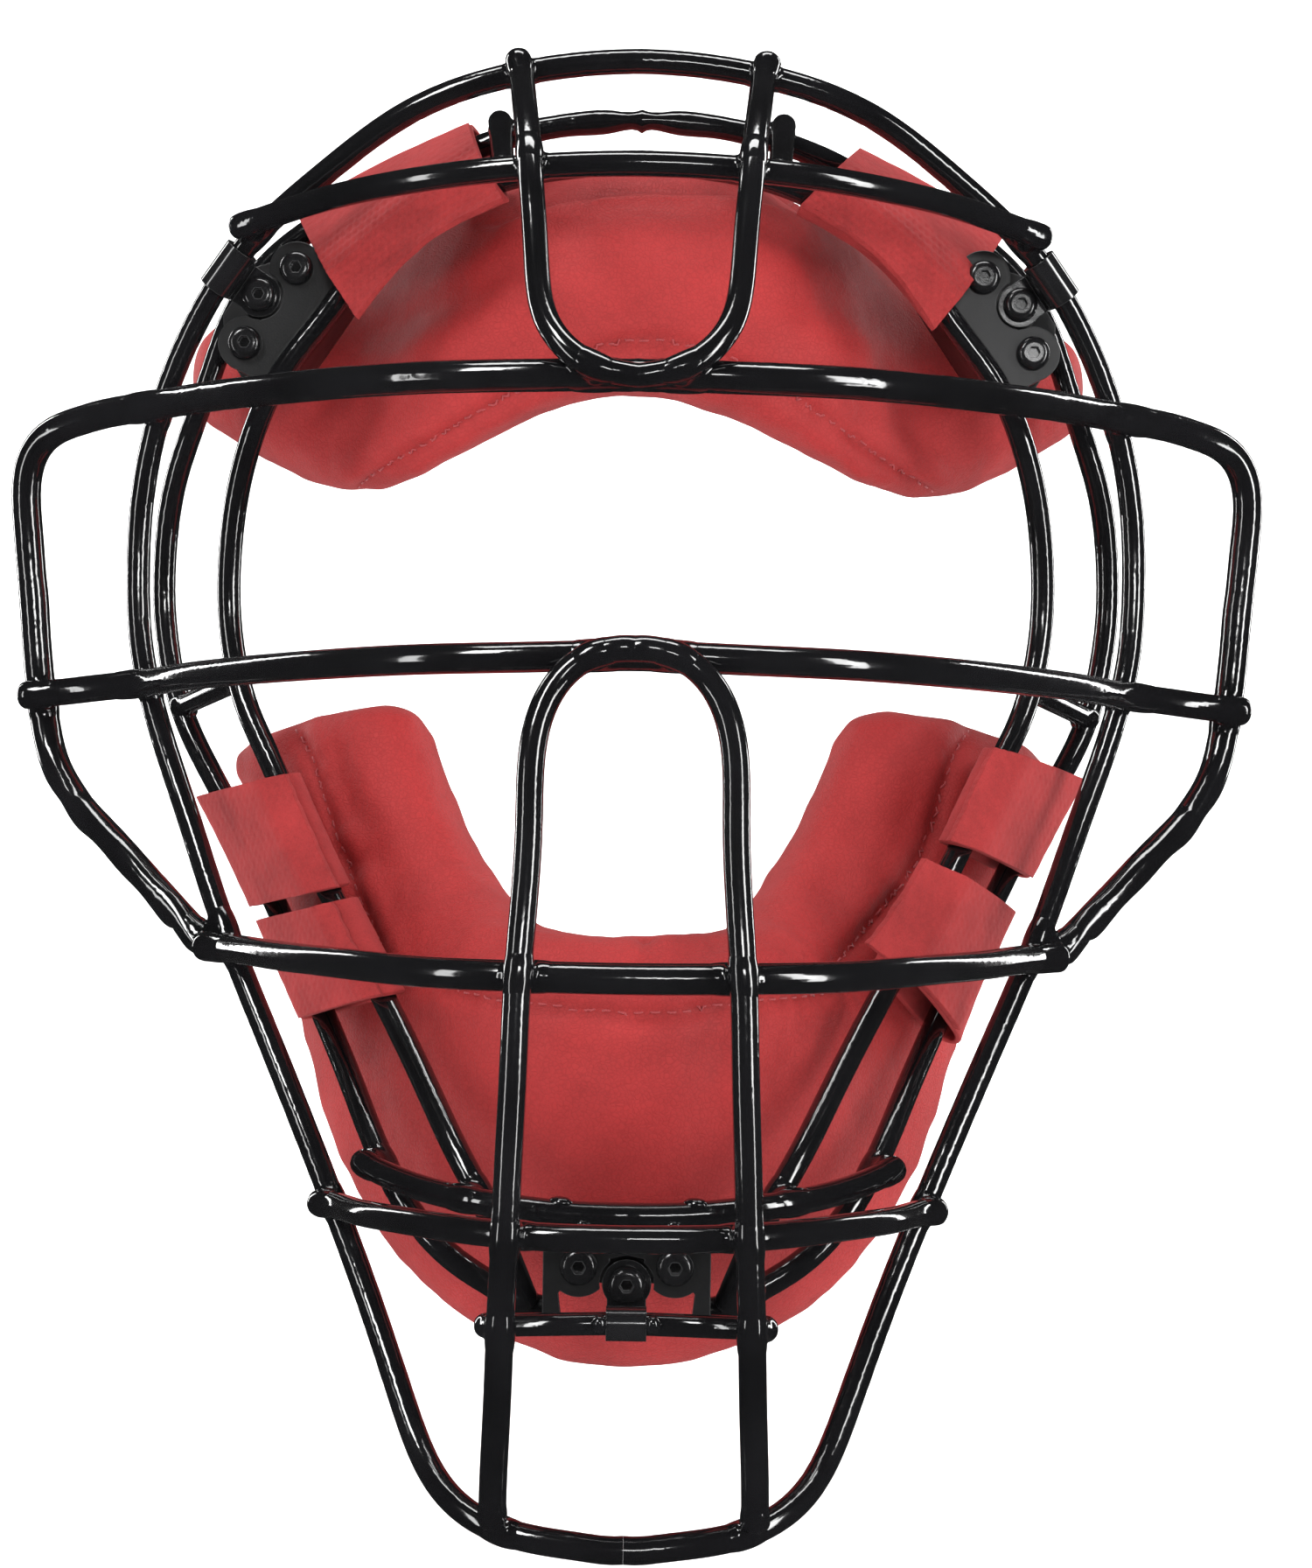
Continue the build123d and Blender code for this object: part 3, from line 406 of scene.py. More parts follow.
# -------------------------------------------------- wire centre lines, one half of each, in millimetres
LINES = {
    "rim": (2.4, "outer_cage", [
        (0, -22, 140.8), (4, -21.9, 140.7), (8.1, -21.7, 140.5), (12.1, -21.5, 140.2), (16.1, -21.4, 139.7), (20.1,
        -21.1, 139.1), (24.1, -20.9, 138.4), (28, -20.6, 137.6), (31.9, -20.3, 136.6), (35.7, -19.9, 135.4), (39.5,
        -19.4, 134.1), (43.2, -18.7, 132.5), (46.7, -17.9, 130.8), (50.2, -17, 128.8), (53.5, -16, 126.8), (56.7, -15,
        124.6), (59.9, -13.9, 122.3), (63.1, -12.9, 120), (66.2, -12, 117.6), (69.3, -11.1, 115.2), (72.4, -10.2,
        112.7), (75.3, -9.4, 110.1), (78.1, -8.5, 107.3), (80.7, -7.6, 104.4), (83.2, -6.7, 101.3), (85.5, -5.8,
        98.1), (87.6, -5, 94.7), (89.6, -4.1, 91.3), (91.4, -3.3, 87.8), (93.1, -2.5, 84.2), (94.6, -1.8, 80.6),
        (96.1, -1.1, 76.9), (97.3, -0.4, 73.1), (98.4, 0.2, 69.2), (99.4, 0.8, 65.4), (100.1, 1.3, 61.4), (100.7, 1.7,
        57.5), (101.1, 2, 53.4), (101.4, 2.1, 49.4), (101.5, 2.1, 45.4), (101.5, 2, 41.3), (101.4, 1.8, 37.3), (101.2,
        1.5, 33.3), (100.8, 1.2, 29.3), (100.2, 0.7, 25.3), (99.4, 0.1, 21.4), (98.3, -0.6, 17.6), (97.2, -1.5, 13.8),
        (95.9, -2.4, 10.1), (94.6, -3.5, 6.4), (93.2, -4.7, 2.8), (91.7, -6, -0.7), (90.3, -7.4, -4.2), (88.8, -8.9,
        -7.7), (87.4, -10.5, -11.1), (86, -12.3, -14.5), (84.6, -14.1, -17.8), (83.2, -15.9, -21.1), (81.7, -17.7,
        -24.4), (80.2, -19.5, -27.7), (78.6, -21.2, -31), (77, -23, -34.3), (75.4, -24.7, -37.6), (73.7, -26.3,
        -40.8), (72.1, -28, -44.1), (70.4, -29.6, -47.4), (68.7, -31.3, -50.7), (67, -32.9, -54), (65.4, -34.6,
        -57.3), (63.7, -36.2, -60.6), (62.1, -37.8, -63.9), (60.4, -39.4, -67.2), (58.8, -41, -70.6), (57.2, -42.5,
        -73.9), (55.5, -44, -77.3), (53.9, -45.5, -80.7), (52.3, -47, -84.1), (50.8, -48.6, -87.5), (49.2, -50.2,
        -90.8), (47.7, -52, -94.1), (46.2, -53.9, -97.4), (44.8, -55.9, -100.6), (43.3, -57.9, -103.7), (41.9, -60,
        -106.9), (40.5, -62.1, -110), (39.1, -64.2, -113.2), (37.6, -66.4, -116.2), (35.9, -68.7, -119.1), (34.1,
        -71.2, -121.7), (32, -73.9, -123.8), (29.5, -76.6, -125.6), (26.6, -78.9, -127.1), (23.3, -80.9, -128.3),
        (19.7, -82.6, -129.2), (15.9, -83.8, -129.8), (12, -84.7, -130.2), (8, -85.4, -130.5), (4, -85.8, -130.8),
        (-0, -86, -130.9)]),
    "brow": (3, "outer_cage", [
        (-0, -62, 73.6), (4, -62, 73.6), (8, -61.9, 73.5), (12.1, -61.7, 73.5), (16.1, -61.4, 73.4), (20.1, -60.9,
        73.4), (24, -60.2, 73.4), (27.9, -59.3, 73.4), (31.8, -58.2, 73.5), (35.6, -56.9, 73.5), (39.3, -55.4, 73.5),
        (43, -53.7, 73.6), (46.6, -51.8, 73.6), (50, -49.8, 73.7), (53.4, -47.6, 73.7), (56.7, -45.4, 73.8), (60, -43,
        73.8), (63.1, -40.4, 73.9), (66.2, -37.8, 74), (69.1, -35.1, 74.1), (72, -32.3, 74.2), (74.8, -29.4, 74.3),
        (77.6, -26.5, 74.5), (80.2, -23.5, 74.6), (82.9, -20.5, 74.8), (85.5, -17.4, 74.9), (88.2, -14.4, 74.9),
        (90.9, -11.4, 75), (93.8, -8.7, 74.9), (97.1, -6.4, 74.7), (100.6, -4.4, 74.4), (104.1, -2.5, 74.2), (107.5,
        -0.3, 73.9), (110.9, 1.7, 73.4), (114.5, 3.4, 72.6), (118, 5, 71.6), (121.4, 6.4, 69.9), (124, 7.5, 67),
        (125.5, 8.2, 63.4), (126.1, 8.7, 59.5), (126.1, 9.1, 55.5), (125.8, 9.3, 51.5), (125.5, 9.5, 47.4), (125.1,
        9.5, 43.4), (124.7, 9.5, 39.4), (124.3, 9.4, 35.4), (124, 9.3, 31.4), (123.6, 9.2, 27.4), (123.2, 9, 23.4),
        (122.7, 8.6, 19.5), (122, 7.9, 15.6), (121.3, 7.2, 11.7), (120.4, 6.3, 7.9), (119.1, 5, 4.3), (117.4, 3.3,
        1.1), (115.4, 1.6, -2), (113.2, -0.2, -4.8), (110.7, -2.1, -7.3), (108.1, -4.1, -9.6), (105.4, -6.2, -11.8),
        (102.8, -8.2, -14.1), (100.2, -10, -16.6), (97.5, -11.7, -19), (94.9, -13.4, -21.6), (92.2, -14.9, -24.1),
        (89.5, -16.3, -26.7), (86.7, -17.7, -29.3), (84, -19, -32)]),
    "eye": (2.75, "outer_cage", [
        (0, -76, 22.4), (4.1, -76, 22.4), (8.2, -75.9, 22.3), (12.3, -75.6, 22.1), (16.4, -75.3, 22), (20.4, -74.7,
        21.9), (24.4, -74, 21.8), (28.4, -73, 21.7), (32.3, -71.8, 21.7), (36.2, -70.4, 21.6), (39.9, -68.7, 21.5),
        (43.5, -66.8, 21.4), (47, -64.6, 21.3), (50.4, -62.3, 21.2), (53.7, -59.8, 21.1), (56.8, -57.2, 20.9), (59.8,
        -54.5, 20.8), (62.8, -51.6, 20.7), (65.6, -48.7, 20.7), (68.4, -45.7, 20.6), (71.1, -42.6, 20.5), (73.8,
        -39.5, 20.4), (76.4, -36.3, 20.3), (79, -33.2, 20.2), (81.5, -30, 20.1), (84.1, -26.7, 19.9), (86.5, -23.5,
        19.8), (88.9, -20.1, 19.7), (91.2, -16.8, 19.5), (93.4, -13.3, 19.3), (95.7, -9.9, 19.2), (98.4, -6.8, 19),
        (101.6, -4.3, 18.7), (105.1, -2.3, 18.4), (108.9, -0.6, 18.1), (112.7, 0.8, 17.7), (116.6, 1.8, 17.2), (120.6,
        2.5, 16.8), (124.7, 2.9, 16.4)]),
    "cheek": (2.75, "outer_cage", [
        (0, -88, -33.2), (4.1, -87.9, -33.2), (8.2, -87.8, -33.2), (12.3, -87.4, -33.1), (16.4, -86.8, -33.1), (20.4,
        -85.9, -33.1), (24.3, -84.7, -33.1), (28.1, -83.2, -33.1), (31.9, -81.5, -33.1), (35.5, -79.5, -33), (38.9,
        -77.3, -33), (42.2, -74.9, -32.9), (45.4, -72.3, -32.8), (48.4, -69.5, -32.7), (51.3, -66.6, -32.6), (54.1,
        -63.5, -32.6), (56.7, -60.4, -32.6), (59.2, -57.1, -32.6), (61.6, -53.8, -32.6), (64, -50.4, -32.6), (66.3,
        -47, -32.6), (68.5, -43.6, -32.6), (70.7, -40.1, -32.5), (72.9, -36.6, -32.5), (75, -33.1, -32.5), (77.1,
        -29.6, -32.6), (79.8, -26.5, -32.6), (83.3, -24.4, -32.5)]),
    "chin": (2.4, "outer_cage", [
        (0, -92, -76.8), (4, -91.9, -76.8), (8.1, -91.6, -76.8), (12.1, -91, -76.8), (16, -90, -76.8), (19.8, -88.5,
        -76.8), (23.4, -86.7, -76.9), (26.8, -84.6, -76.9), (30.1, -82.3, -76.9), (33.3, -79.8, -76.9), (36.4, -77.1,
        -76.9), (39.3, -74.3, -77), (42.1, -71.3, -77.1), (44.6, -68.2, -77.3), (46.8, -64.8, -77.5), (48.8, -61.3,
        -77.7), (50.4, -57.6, -77.9), (52, -53.9, -78.1), (54.4, -50.6, -78.2), (57.6, -48.2, -78.2)]),
    "forehead": (2.4, "outer_cage", [
        (0, -45, 115.5), (4.1, -44.9, 115.5), (8.1, -44.8, 115.4), (12.1, -44.4, 115.3), (16.2, -44, 115.2), (20.2,
        -43.4, 115), (24.1, -42.6, 114.9), (28.1, -41.7, 114.7), (32, -40.6, 114.5), (35.8, -39.3, 114.3), (39.5,
        -37.7, 114.1), (43.2, -36, 113.9), (46.8, -34.1, 113.7), (50.2, -32, 113.5), (53.6, -29.8, 113.3), (56.9,
        -27.5, 113.1), (60.1, -25, 112.8), (63.4, -22.6, 112.5), (66.6, -20.2, 112.1), (69.8, -17.8, 111.6), (73.2,
        -15.7, 111), (76.7, -13.7, 110.2), (80.3, -12.1, 109.4)]),
    "crown": (2.4, "outer_cage", [
        (0, -67.3, 72.5), (4, -67.2, 73), (7.7, -66.9, 74.3), (11.2, -66.3, 76.3), (14, -65.2, 78.9), (16.1, -63.6,
        81.9), (17.4, -61.8, 85.2), (18.2, -59.9, 88.7), (18.6, -58.1, 92.2), (18.9, -56.5, 95.9), (19.2, -54.9,
        99.6), (19.6, -53.5, 103.3), (19.9, -52.1, 107), (20.3, -50.5, 110.7), (20.6, -48.6, 114.2), (20.9, -46.4,
        117.6), (21.3, -44, 120.7), (21.6, -41.4, 123.8), (22, -38.6, 126.7), (22.4, -35.7, 129.3), (22.7, -32.5,
        131.8), (23, -29.3, 134.2), (23.5, -26.6, 137.1), (24.3, -24.9, 140.6)]),
    "nose": (2.4, "outer_cage", [
        (0, -80.9, 23.3), (4, -80.9, 23), (7.9, -80.8, 21.9), (11.2, -80.8, 19.6), (13.8, -81.3, 16.6), (15.6, -82.2,
        13.1), (16.8, -83.1, 9.3), (17.4, -84, 5.4), (17.7, -84.9, 1.5), (17.7, -85.7, -2.5), (17.7, -86.5, -6.4),
        (17.8, -87.4, -10.4), (17.9, -88.2, -14.4), (18.1, -89, -18.3), (18.4, -89.7, -22.3), (18.7, -90.3, -26.3),
        (18.9, -90.9, -30.3), (19.2, -91.4, -34.3), (19.3, -91.9, -38.3), (19.4, -92.3, -42.3), (19.5, -92.8, -46.3),
        (19.6, -93.1, -50.4), (19.8, -93.3, -54.4), (19.9, -93.5, -58.4), (20.1, -93.5, -62.5), (20.3, -93.5, -66.5),
        (20.4, -93.4, -70.6), (20.5, -93.2, -74.6), (20.7, -93, -78.6), (20.9, -92.7, -82.7), (21.1, -92.4, -86.7),
        (21.2, -92.1, -90.7), (21.3, -91.7, -94.8), (21.5, -91.1, -98.8), (21.6, -90.5, -102.8), (21.8, -89.7,
        -106.7), (21.9, -88.7, -110.7), (22.1, -87.8, -114.6), (22.3, -86.9, -118.5), (22.4, -86.1, -122.5), (22.5,
        -85.6, -126.5)]),
    "mount": (2, "outer_cage", [
        (-0, -81, -93.2), (4.4, -81.2, -93.2), (8.8, -81.7, -93.2), (13, -82.7, -93.1), (17.1, -84.4, -92.9), (20.7,
        -86.9, -92.5), (24.5, -89, -92.2)]),
    "front": (2.4, "inner_cage", [
        (-0, -16, 122.5), (4, -15.9, 122.4), (8.1, -15.6, 122.2), (12.1, -15.2, 121.9), (16.1, -14.7, 121.5), (20,
        -14, 121), (23.9, -13.3, 120.3), (27.8, -12.5, 119.4), (31.6, -11.6, 118.2), (35.2, -10.8, 116.7), (38.8,
        -9.8, 115), (42.3, -8.9, 113.2), (45.7, -8, 111.3), (49.1, -7.1, 109.2), (52.2, -6.3, 106.9), (55.2, -5.7,
        104.1), (57.8, -5.3, 101), (60.2, -5.2, 97.8), (62.5, -5.1, 94.5), (64.9, -5.1, 91.3), (67.4, -5.1, 88.1),
        (69.8, -5.1, 84.8), (72.1, -5.1, 81.5), (74, -4.8, 78), (75.7, -4.4, 74.3), (77.2, -3.9, 70.6), (78.6, -3.2,
        66.8), (79.7, -2.5, 63), (80.7, -1.7, 59.2), (81.4, -1, 55.3), (82, -0.3, 51.3), (82.5, 0.3, 47.4), (82.7,
        0.7, 43.3), (82.8, 1, 39.3), (82.7, 1, 35.3), (82.4, 0.7, 31.3), (81.8, 0.2, 27.3), (81.1, -0.5, 23.4), (80,
        -1.5, 19.6), (78.8, -2.7, 15.9), (77.3, -4.2, 12.5), (75.6, -5.9, 9.2), (73.9, -7.7, 6), (72.1, -9.3, 2.8),
        (70.4, -11, -0.5), (68.7, -12.6, -3.8), (67, -14.1, -7.1), (65.3, -15.7, -10.4), (63.6, -17.2, -13.7), (61.8,
        -18.8, -17), (60, -20.5, -20.2), (58.1, -22.2, -23.3), (56.3, -24, -26.4), (54.4, -25.9, -29.5), (52.5, -27.8,
        -32.5), (50.6, -29.8, -35.5), (48.8, -31.8, -38.5), (47, -33.9, -41.4), (45.2, -36, -44.3), (43.4, -38.2,
        -47.2), (41.6, -40.5, -50.1), (39.9, -42.8, -52.9), (38.3, -45.2, -55.8), (36.6, -47.6, -58.6), (35, -50,
        -61.4), (33.3, -52.4, -64.2), (31.6, -54.6, -67.1), (29.7, -56.6, -70), (27.7, -58.3, -73.1), (25.8, -59.5,
        -76.5), (23.9, -59.7, -80.1), (22.4, -59.1, -83.7), (21, -58.2, -87.4), (19.7, -57, -91), (18.5, -55.7, -94.7)]),
    "rear": (2.4, "inner_cage", [
        (0, 5, 135.8), (4, 5.1, 135.8), (8.1, 5.3, 135.6), (12.1, 5.6, 135.4), (16.1, 6, 135), (20, 6.4, 134.4), (24,
        7, 133.7), (27.8, 7.6, 132.8), (31.7, 8.2, 131.7), (35.4, 8.9, 130.4), (39.1, 9.6, 129), (42.8, 10.3, 127.5),
        (46.4, 11.1, 125.9), (50, 11.8, 124.3), (53.7, 12.5, 122.7), (57.3, 13.2, 121), (60.9, 13.9, 119.3), (64.4,
        14.5, 117.5), (67.9, 15.1, 115.5), (71.2, 15.6, 113.3), (74.4, 16.1, 110.9), (77.4, 16.5, 108.2), (80.1, 16.7,
        105.2), (82.4, 16.8, 102), (84.4, 16.8, 98.5), (86.1, 16.8, 94.8), (87.5, 17, 91), (88.8, 17.2, 87.2), (90.1,
        17.6, 83.4), (91.5, 18.1, 79.7), (92.8, 18.8, 75.9), (94.2, 19.5, 72.2), (95.6, 20.4, 68.5), (96.9, 21.3,
        64.8), (98, 22.3, 61.1), (98.9, 23.2, 57.2), (99.5, 24.1, 53.3), (100, 24.8, 49.4), (100.2, 25.2, 45.4),
        (100.4, 25.5, 41.4), (100.3, 25.5, 37.4), (99.9, 25.2, 33.3), (99.4, 24.8, 29.4), (98.7, 24.3, 25.4), (97.8,
        23.6, 21.6), (96.8, 22.8, 17.8), (95.4, 21.7, 14.1), (93.9, 20.5, 10.6), (92.1, 19.1, 7.3), (90.2, 17.5, 4.1),
        (88.3, 15.9, 0.9), (86.3, 14.2, -2.2), (84.3, 12.5, -5.3), (82.4, 10.8, -8.3), (80.5, 9.1, -11.5), (78.6, 7.4,
        -14.6), (76.8, 5.7, -17.8), (75, 3.9, -20.9), (73.2, 2.2, -24.1), (71.5, 0.3, -27.2), (69.8, -1.6, -30.3),
        (68.1, -3.6, -33.4), (66.4, -5.8, -36.4), (64.8, -8, -39.3), (63.1, -10.5, -42), (61.5, -13, -44.7), (60,
        -15.6, -47.4), (58.4, -18.3, -49.9), (56.9, -21, -52.5), (55.4, -23.8, -55), (54, -26.5, -57.6), (52.5, -29.2,
        -60.3), (51.1, -31.8, -62.9), (49.6, -34.4, -65.7), (48.1, -36.9, -68.5), (46.4, -39.2, -71.3), (44.6, -41.4,
        -74.2), (42.7, -43.4, -77.1), (40.5, -45.3, -79.9), (38.1, -46.9, -82.7), (35.4, -48.3, -85.3), (32.4, -49.5,
        -87.8), (29.1, -50.4, -89.9), (25.6, -51, -91.9), (22.2, -51.3, -93.9), (18.6, -51.3, -95.8), (14.7, -51.3,
        -96.8)]),
    "inbar": (2.4, "inner_cage", [
        (0, -68.1, -76.7), (4, -68.1, -76.7), (8, -68, -76.6), (12, -67.8, -76.4), (16, -67.5, -76.1), (20, -66.9,
        -75.7), (23.8, -65.8, -75.3), (27.4, -64, -75), (30.7, -61.8, -74.8), (33.8, -59.3, -74.5), (36.7, -56.6,
        -74.2), (39.6, -53.7, -73.8), (42.3, -50.8, -73.4), (44.9, -47.8, -72.8), (47.5, -44.8, -72.2), (50.1, -41.9,
        -71.3)]),
}


def whole_line(name):
    half = np.array(LINES[name][2], float)
    if name == "rim":
        other = half[1:-1][::-1] * [-1, 1, 1]
        return np.vstack([half, other, half[:1]])
    return np.vstack([(half[1:][::-1]) * [-1, 1, 1], half])


wires = {}
for wire_name in LINES:
    wires[wire_name] = resample(whole_line(wire_name), 0.8)

# ------------------------------------------------------------------ weld fillets
def tangent(line, i):
    a, b = max(i - 2, 0), min(i + 2, len(line) - 1)
    d = line[b] - line[a]
    return d / np.linalg.norm(d)


def crossings(a, b):
    """Index pairs where two wires touch: one per contact patch."""
    la, lb = wires[a], wires[b]
    reach = LINES[a][0] + LINES[b][0] + 0.9
    tree = KDTree(len(lb))
    for i, p in enumerate(lb):
        tree.insert(p, i)
    tree.balance()
    found = []
    for i, p in enumerate(la):
        _, j, d = tree.find(p)
        if d < reach:
            found.append((d, i, j))
    found.sort()
    kept = []
    for d, i, j in found:
        if all(np.linalg.norm(la[i] - la[k[0]]) > 11 for k in kept):
            kept.append((i, j))
    return kept


def weld_shapes(a, b):
    shapes = []
    for i, j in crossings(a, b):
        la, lb = wires[a], wires[b]
        ra, rb = LINES[a][0], LINES[b][0]
        for line, k, r in ((la, i, ra), (lb, j, rb)):
            d = tangent(line, k)
            reach = 2.5 * r
            lo, hi = -reach, reach
            s = np.linspace(lo, hi, 15)
            pts = []
            for t in s:
                q = k + int(round(t / 0.8))
                if q < 0:
                    pts.append(line[0] + d * 0)
                elif q >= len(line):
                    pts.append(line[-1] + d * 0)
                else:
                    pts.append(line[q])
            keep = [n for n in range(len(pts)) if n == 0 or np.linalg.norm(pts[n] - pts[n - 1]) > 0.2]
            pts, s2 = np.array([pts[n] for n in keep]), s[keep]
            if len(pts) < 4:
                continue
            rad = r + 0.34 - 0.85 * (np.abs(s2) / reach) ** 2.2
            shapes.append(rings_mesh(capsule_rings(pts, rad)))
        mid = (la[i] * rb + lb[j] * ra) / (ra + rb)
        n = lb[j] - la[i]
        n /= max(np.linalg.norm(n), 1e-6)
        ta, tb = tangent(la, i), tangent(lb, j)
        ball = []
        for m in range(9):
            phi = math.pi * (m + 0.5) / 9
            ring = []
            for q in range(12):
                th = 2 * math.pi * q / 12
                e1 = ta + tb if np.dot(ta, tb) > 0 else ta - tb
                e1 = e1 / np.linalg.norm(e1)
                e2 = np.cross(n, e1)
                ring.append(mid + n * 1.7 * math.cos(phi) + (e1 * math.cos(th) * 3.0 + e2 * math.sin(th) * 2.6) * math.sin(phi))
            ball.append(ring)
        shapes.append(rings_mesh(ball))
    return shapes


def dome(tip_point, direction, radius, bulge):
    rings = []
    across = np.cross(direction, [0.2, 0.9, 0.4])
    across /= np.linalg.norm(across)
    other = np.cross(direction, across)
    for back, share in ((-3.0, 0.97), (-1.2, 1.0), (-0.2, 1.0), (bulge * 0.35, 0.92), (bulge * 0.75, 0.66), (bulge, 0.25)):
        a = np.linspace(0, 2 * math.pi, 14, endpoint=False)
        rings.append(tip_point + direction * back + (radius + 0.12) * share * (np.cos(a)[:, None] * across + np.sin(a)[:, None] * other))
    return rings_mesh(rings)


def join_shapes(name, shapes, material):
    verts, faces = [], []
    for v, f in shapes:
        base = len(verts)
        verts += [np.asarray(p, float) for p in v]
        faces += [tuple(i + base for i in q) for q in f]
    return new_object(name, verts, faces, material)


def blob(centre, radii, axis=(0, 0, 1)):
    z = np.array(axis, float)
    z /= np.linalg.norm(z)
    x = np.cross(z, [0.31, 0.9, 0.2])
    x /= np.linalg.norm(x)
    y = np.cross(z, x)
    rings = []
    for m in range(8):
        phi = math.pi * (m + 0.5) / 8
        a = np.linspace(0, 2 * math.pi, 12, endpoint=False)
        rings.append(np.array(centre) + z * radii[2] * math.cos(phi) + math.sin(phi) * (
            radii[0] * np.cos(a)[:, None] * x + radii[1] * np.sin(a)[:, None] * y))
    return rings_mesh(rings)


pairs = {
    "outer_cage": [("rim", "brow"), ("rim", "eye"), ("rim", "cheek"), ("rim", "chin"), ("rim", "forehead"), ("rim", "crown"),
                   ("rim", "nose"), ("brow", "eye"), ("brow", "cheek"), ("crown", "brow"), ("nose", "eye"), ("nose", "cheek"),
                   ("nose", "chin"), ("nose", "mount"), ("crown", "forehead")],
    "inner_cage": [("inbar", "front"), ("inbar", "rear"), ("front", "rear")],
}
for body, list_of_pairs in pairs.items():
    shapes = []
    for a, b in list_of_pairs:
        shapes += weld_shapes(a, b)
    for w in LINES:
        if LINES[w][1] != body or w == "rim":
            continue
        line = wires[w]
        shapes.append(dome(line[0], -tangent(line, 0), LINES[w][0], 1.3))
        shapes.append(dome(line[-1], tangent(line, len(line) - 1), LINES[w][0], 1.3))
    if body == "inner_cage":
        for sx in (-1, 1):
            bar = wires["inbar"]
            spot = bar[int(np.argmin(np.abs(bar[:, 0] - sx * 11.9)))]
            shapes.append(blob(spot + [0, -0.4, 1.9], (2.6, 1.7, 1.3)))
            spot = bar[int(np.argmin(np.abs(bar[:, 0] - sx * 8.0)))]
            shapes.append(blob(spot + [0, -1.2, -1.6], (2.0, 1.6, 1.4)))
            for tip_a, tip_b, r in (((81.26, 0.27, 19.62), (94.77, 20.41, 15.51), 2.2), ((29.1, 4.5, 135.4), (27.7, -9.7, 122.9), 2.4)):
                pa, pb = np.array(tip_a) * [sx, 1, 1], np.array(tip_b) * [sx, 1, 1]
                d = (pb - pa) / np.linalg.norm(pb - pa)
                shapes.append(dome(pa, -d, r, 1.7))
                shapes.append(dome(pb, d, r, 1.7))
                for p in (pa, pb):
                    near = min(("front", "rear"), key=lambda w: np.linalg.norm(wires[w] - p, axis=1).min())
                    line = wires[near]
                    q = line[int(np.argmin(np.linalg.norm(line - p, axis=1)))]
                    shapes.append(blob((p + q) / 2, (3.4, 3.0, 2.4), q - p if np.linalg.norm(q - p) > 0.5 else (0, 0, 1)))
    else:
        for sx in (-1, 1):
            shapes.append(blob((sx * 4.6, -83.9, -92.7), (1.5, 1.5, 1.7)))
    weld = join_shapes("weld_fillets_" + body, shapes, wire_mat)
    rm = weld.modifiers.new("remesh", "REMESH")
    rm.mode, rm.voxel_size, rm.use_smooth_shade = "VOXEL", 0.42 * MM, True
    sm = weld.modifiers.new("smooth", "SMOOTH")
    sm.factor, sm.iterations = 0.5, 7
    bake(weld)
    if not weld.data.materials:
        weld.data.materials.append(wire_mat)
    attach(weld, body)

# -------------------------------------------------------------------------- pads
def periodic_section(points, count=56):
    """Smooth closed section through control points, sampled evenly by parameter."""
    p = np.asarray(points, float)
    n = len(p)
    out = []
    for k in range(count):
        t = k * n / count
        i, f = int(t), t - int(t)
        a, b, c, d = p[(i - 1) % n], p[i % n], p[(i + 1) % n], p[(i + 2) % n]
        out.append(0.5 * ((2 * b) + (c - a) * f + (2 * a - 5 * b + 4 * c - d) * f * f + (3 * b - a - 3 * c + d) * f**3))
    return np.array(out)


def simulate(obj, pin_points, reach, cap, voxel=4.5, pressure=4.0, shrink=0.9):
    """Voxel remesh, cloth under pressure with the seams held, growth limited to cap."""
    rm = obj.modifiers.new("remesh", "REMESH")
    rm.mode, rm.voxel_size, rm.use_smooth_shade = "VOXEL", voxel * MM, True
    bake(obj)
    sm = obj.modifiers.new("smooth", "SMOOTH")
    sm.factor, sm.iterations = 0.5, 3
    bake(obj)
    start = coords(obj) - normals(obj) * shrink
    set_coords(obj, start)
    tree = KDTree(len(pin_points))
    for i, p in enumerate(pin_points):
        tree.insert(p, i)
    tree.balance()
    pins = obj.vertex_groups.new(name="pins")
    for i, p in enumerate(start):
        d = tree.find(p)[2]
        if d < reach:
            pins.add([i], 1.0, "REPLACE")
    cl = obj.modifiers.new("cloth", "CLOTH")
    st = cl.settings
    st.quality = 6
    st.mass = 0.25
    st.use_pressure = True
    st.uniform_pressure_force = pressure
    st.effector_weights.gravity = 0.0
    st.vertex_group_mass = "pins"
    st.tension_stiffness = st.compression_stiffness = 12
    st.shear_stiffness = 6
    st.bending_stiffness = 0.6
    cl.collision_settings.use_collision = False
    scene = bpy.context.scene
    scene.frame_start, scene.frame_end = 1, 20
    for f in range(1, 21):
        scene.frame_set(f)
    dg = bpy.context.evaluated_depsgraph_get()
    ev = obj.evaluated_get(dg)
    moved = np.array([v.co for v in ev.data.vertices], float) / MM - OFF
    obj.modifiers.clear()
    obj.vertex_groups.clear()
    scene.frame_set(1)
    shift = moved - start
    shift[~np.isfinite(shift).all(1)] = 0
    size = np.linalg.norm(shift, axis=1)
    shift *= (cap * np.tanh(size / cap) / np.maximum(size, 1e-9))[:, None]
    set_coords(obj, start + shift)
    return obj


def refine(obj, levels=2):
    sub = obj.modifiers.new("sub", "SUBSURF")
    sub.levels = sub.render_levels = levels
    bake(obj)
    return obj


def tree_of(obj):
    co = coords(obj)
    return BVHTree.FromPolygons([Vector(c) for c in co], [tuple(p.vertices) for p in obj.data.polygons])


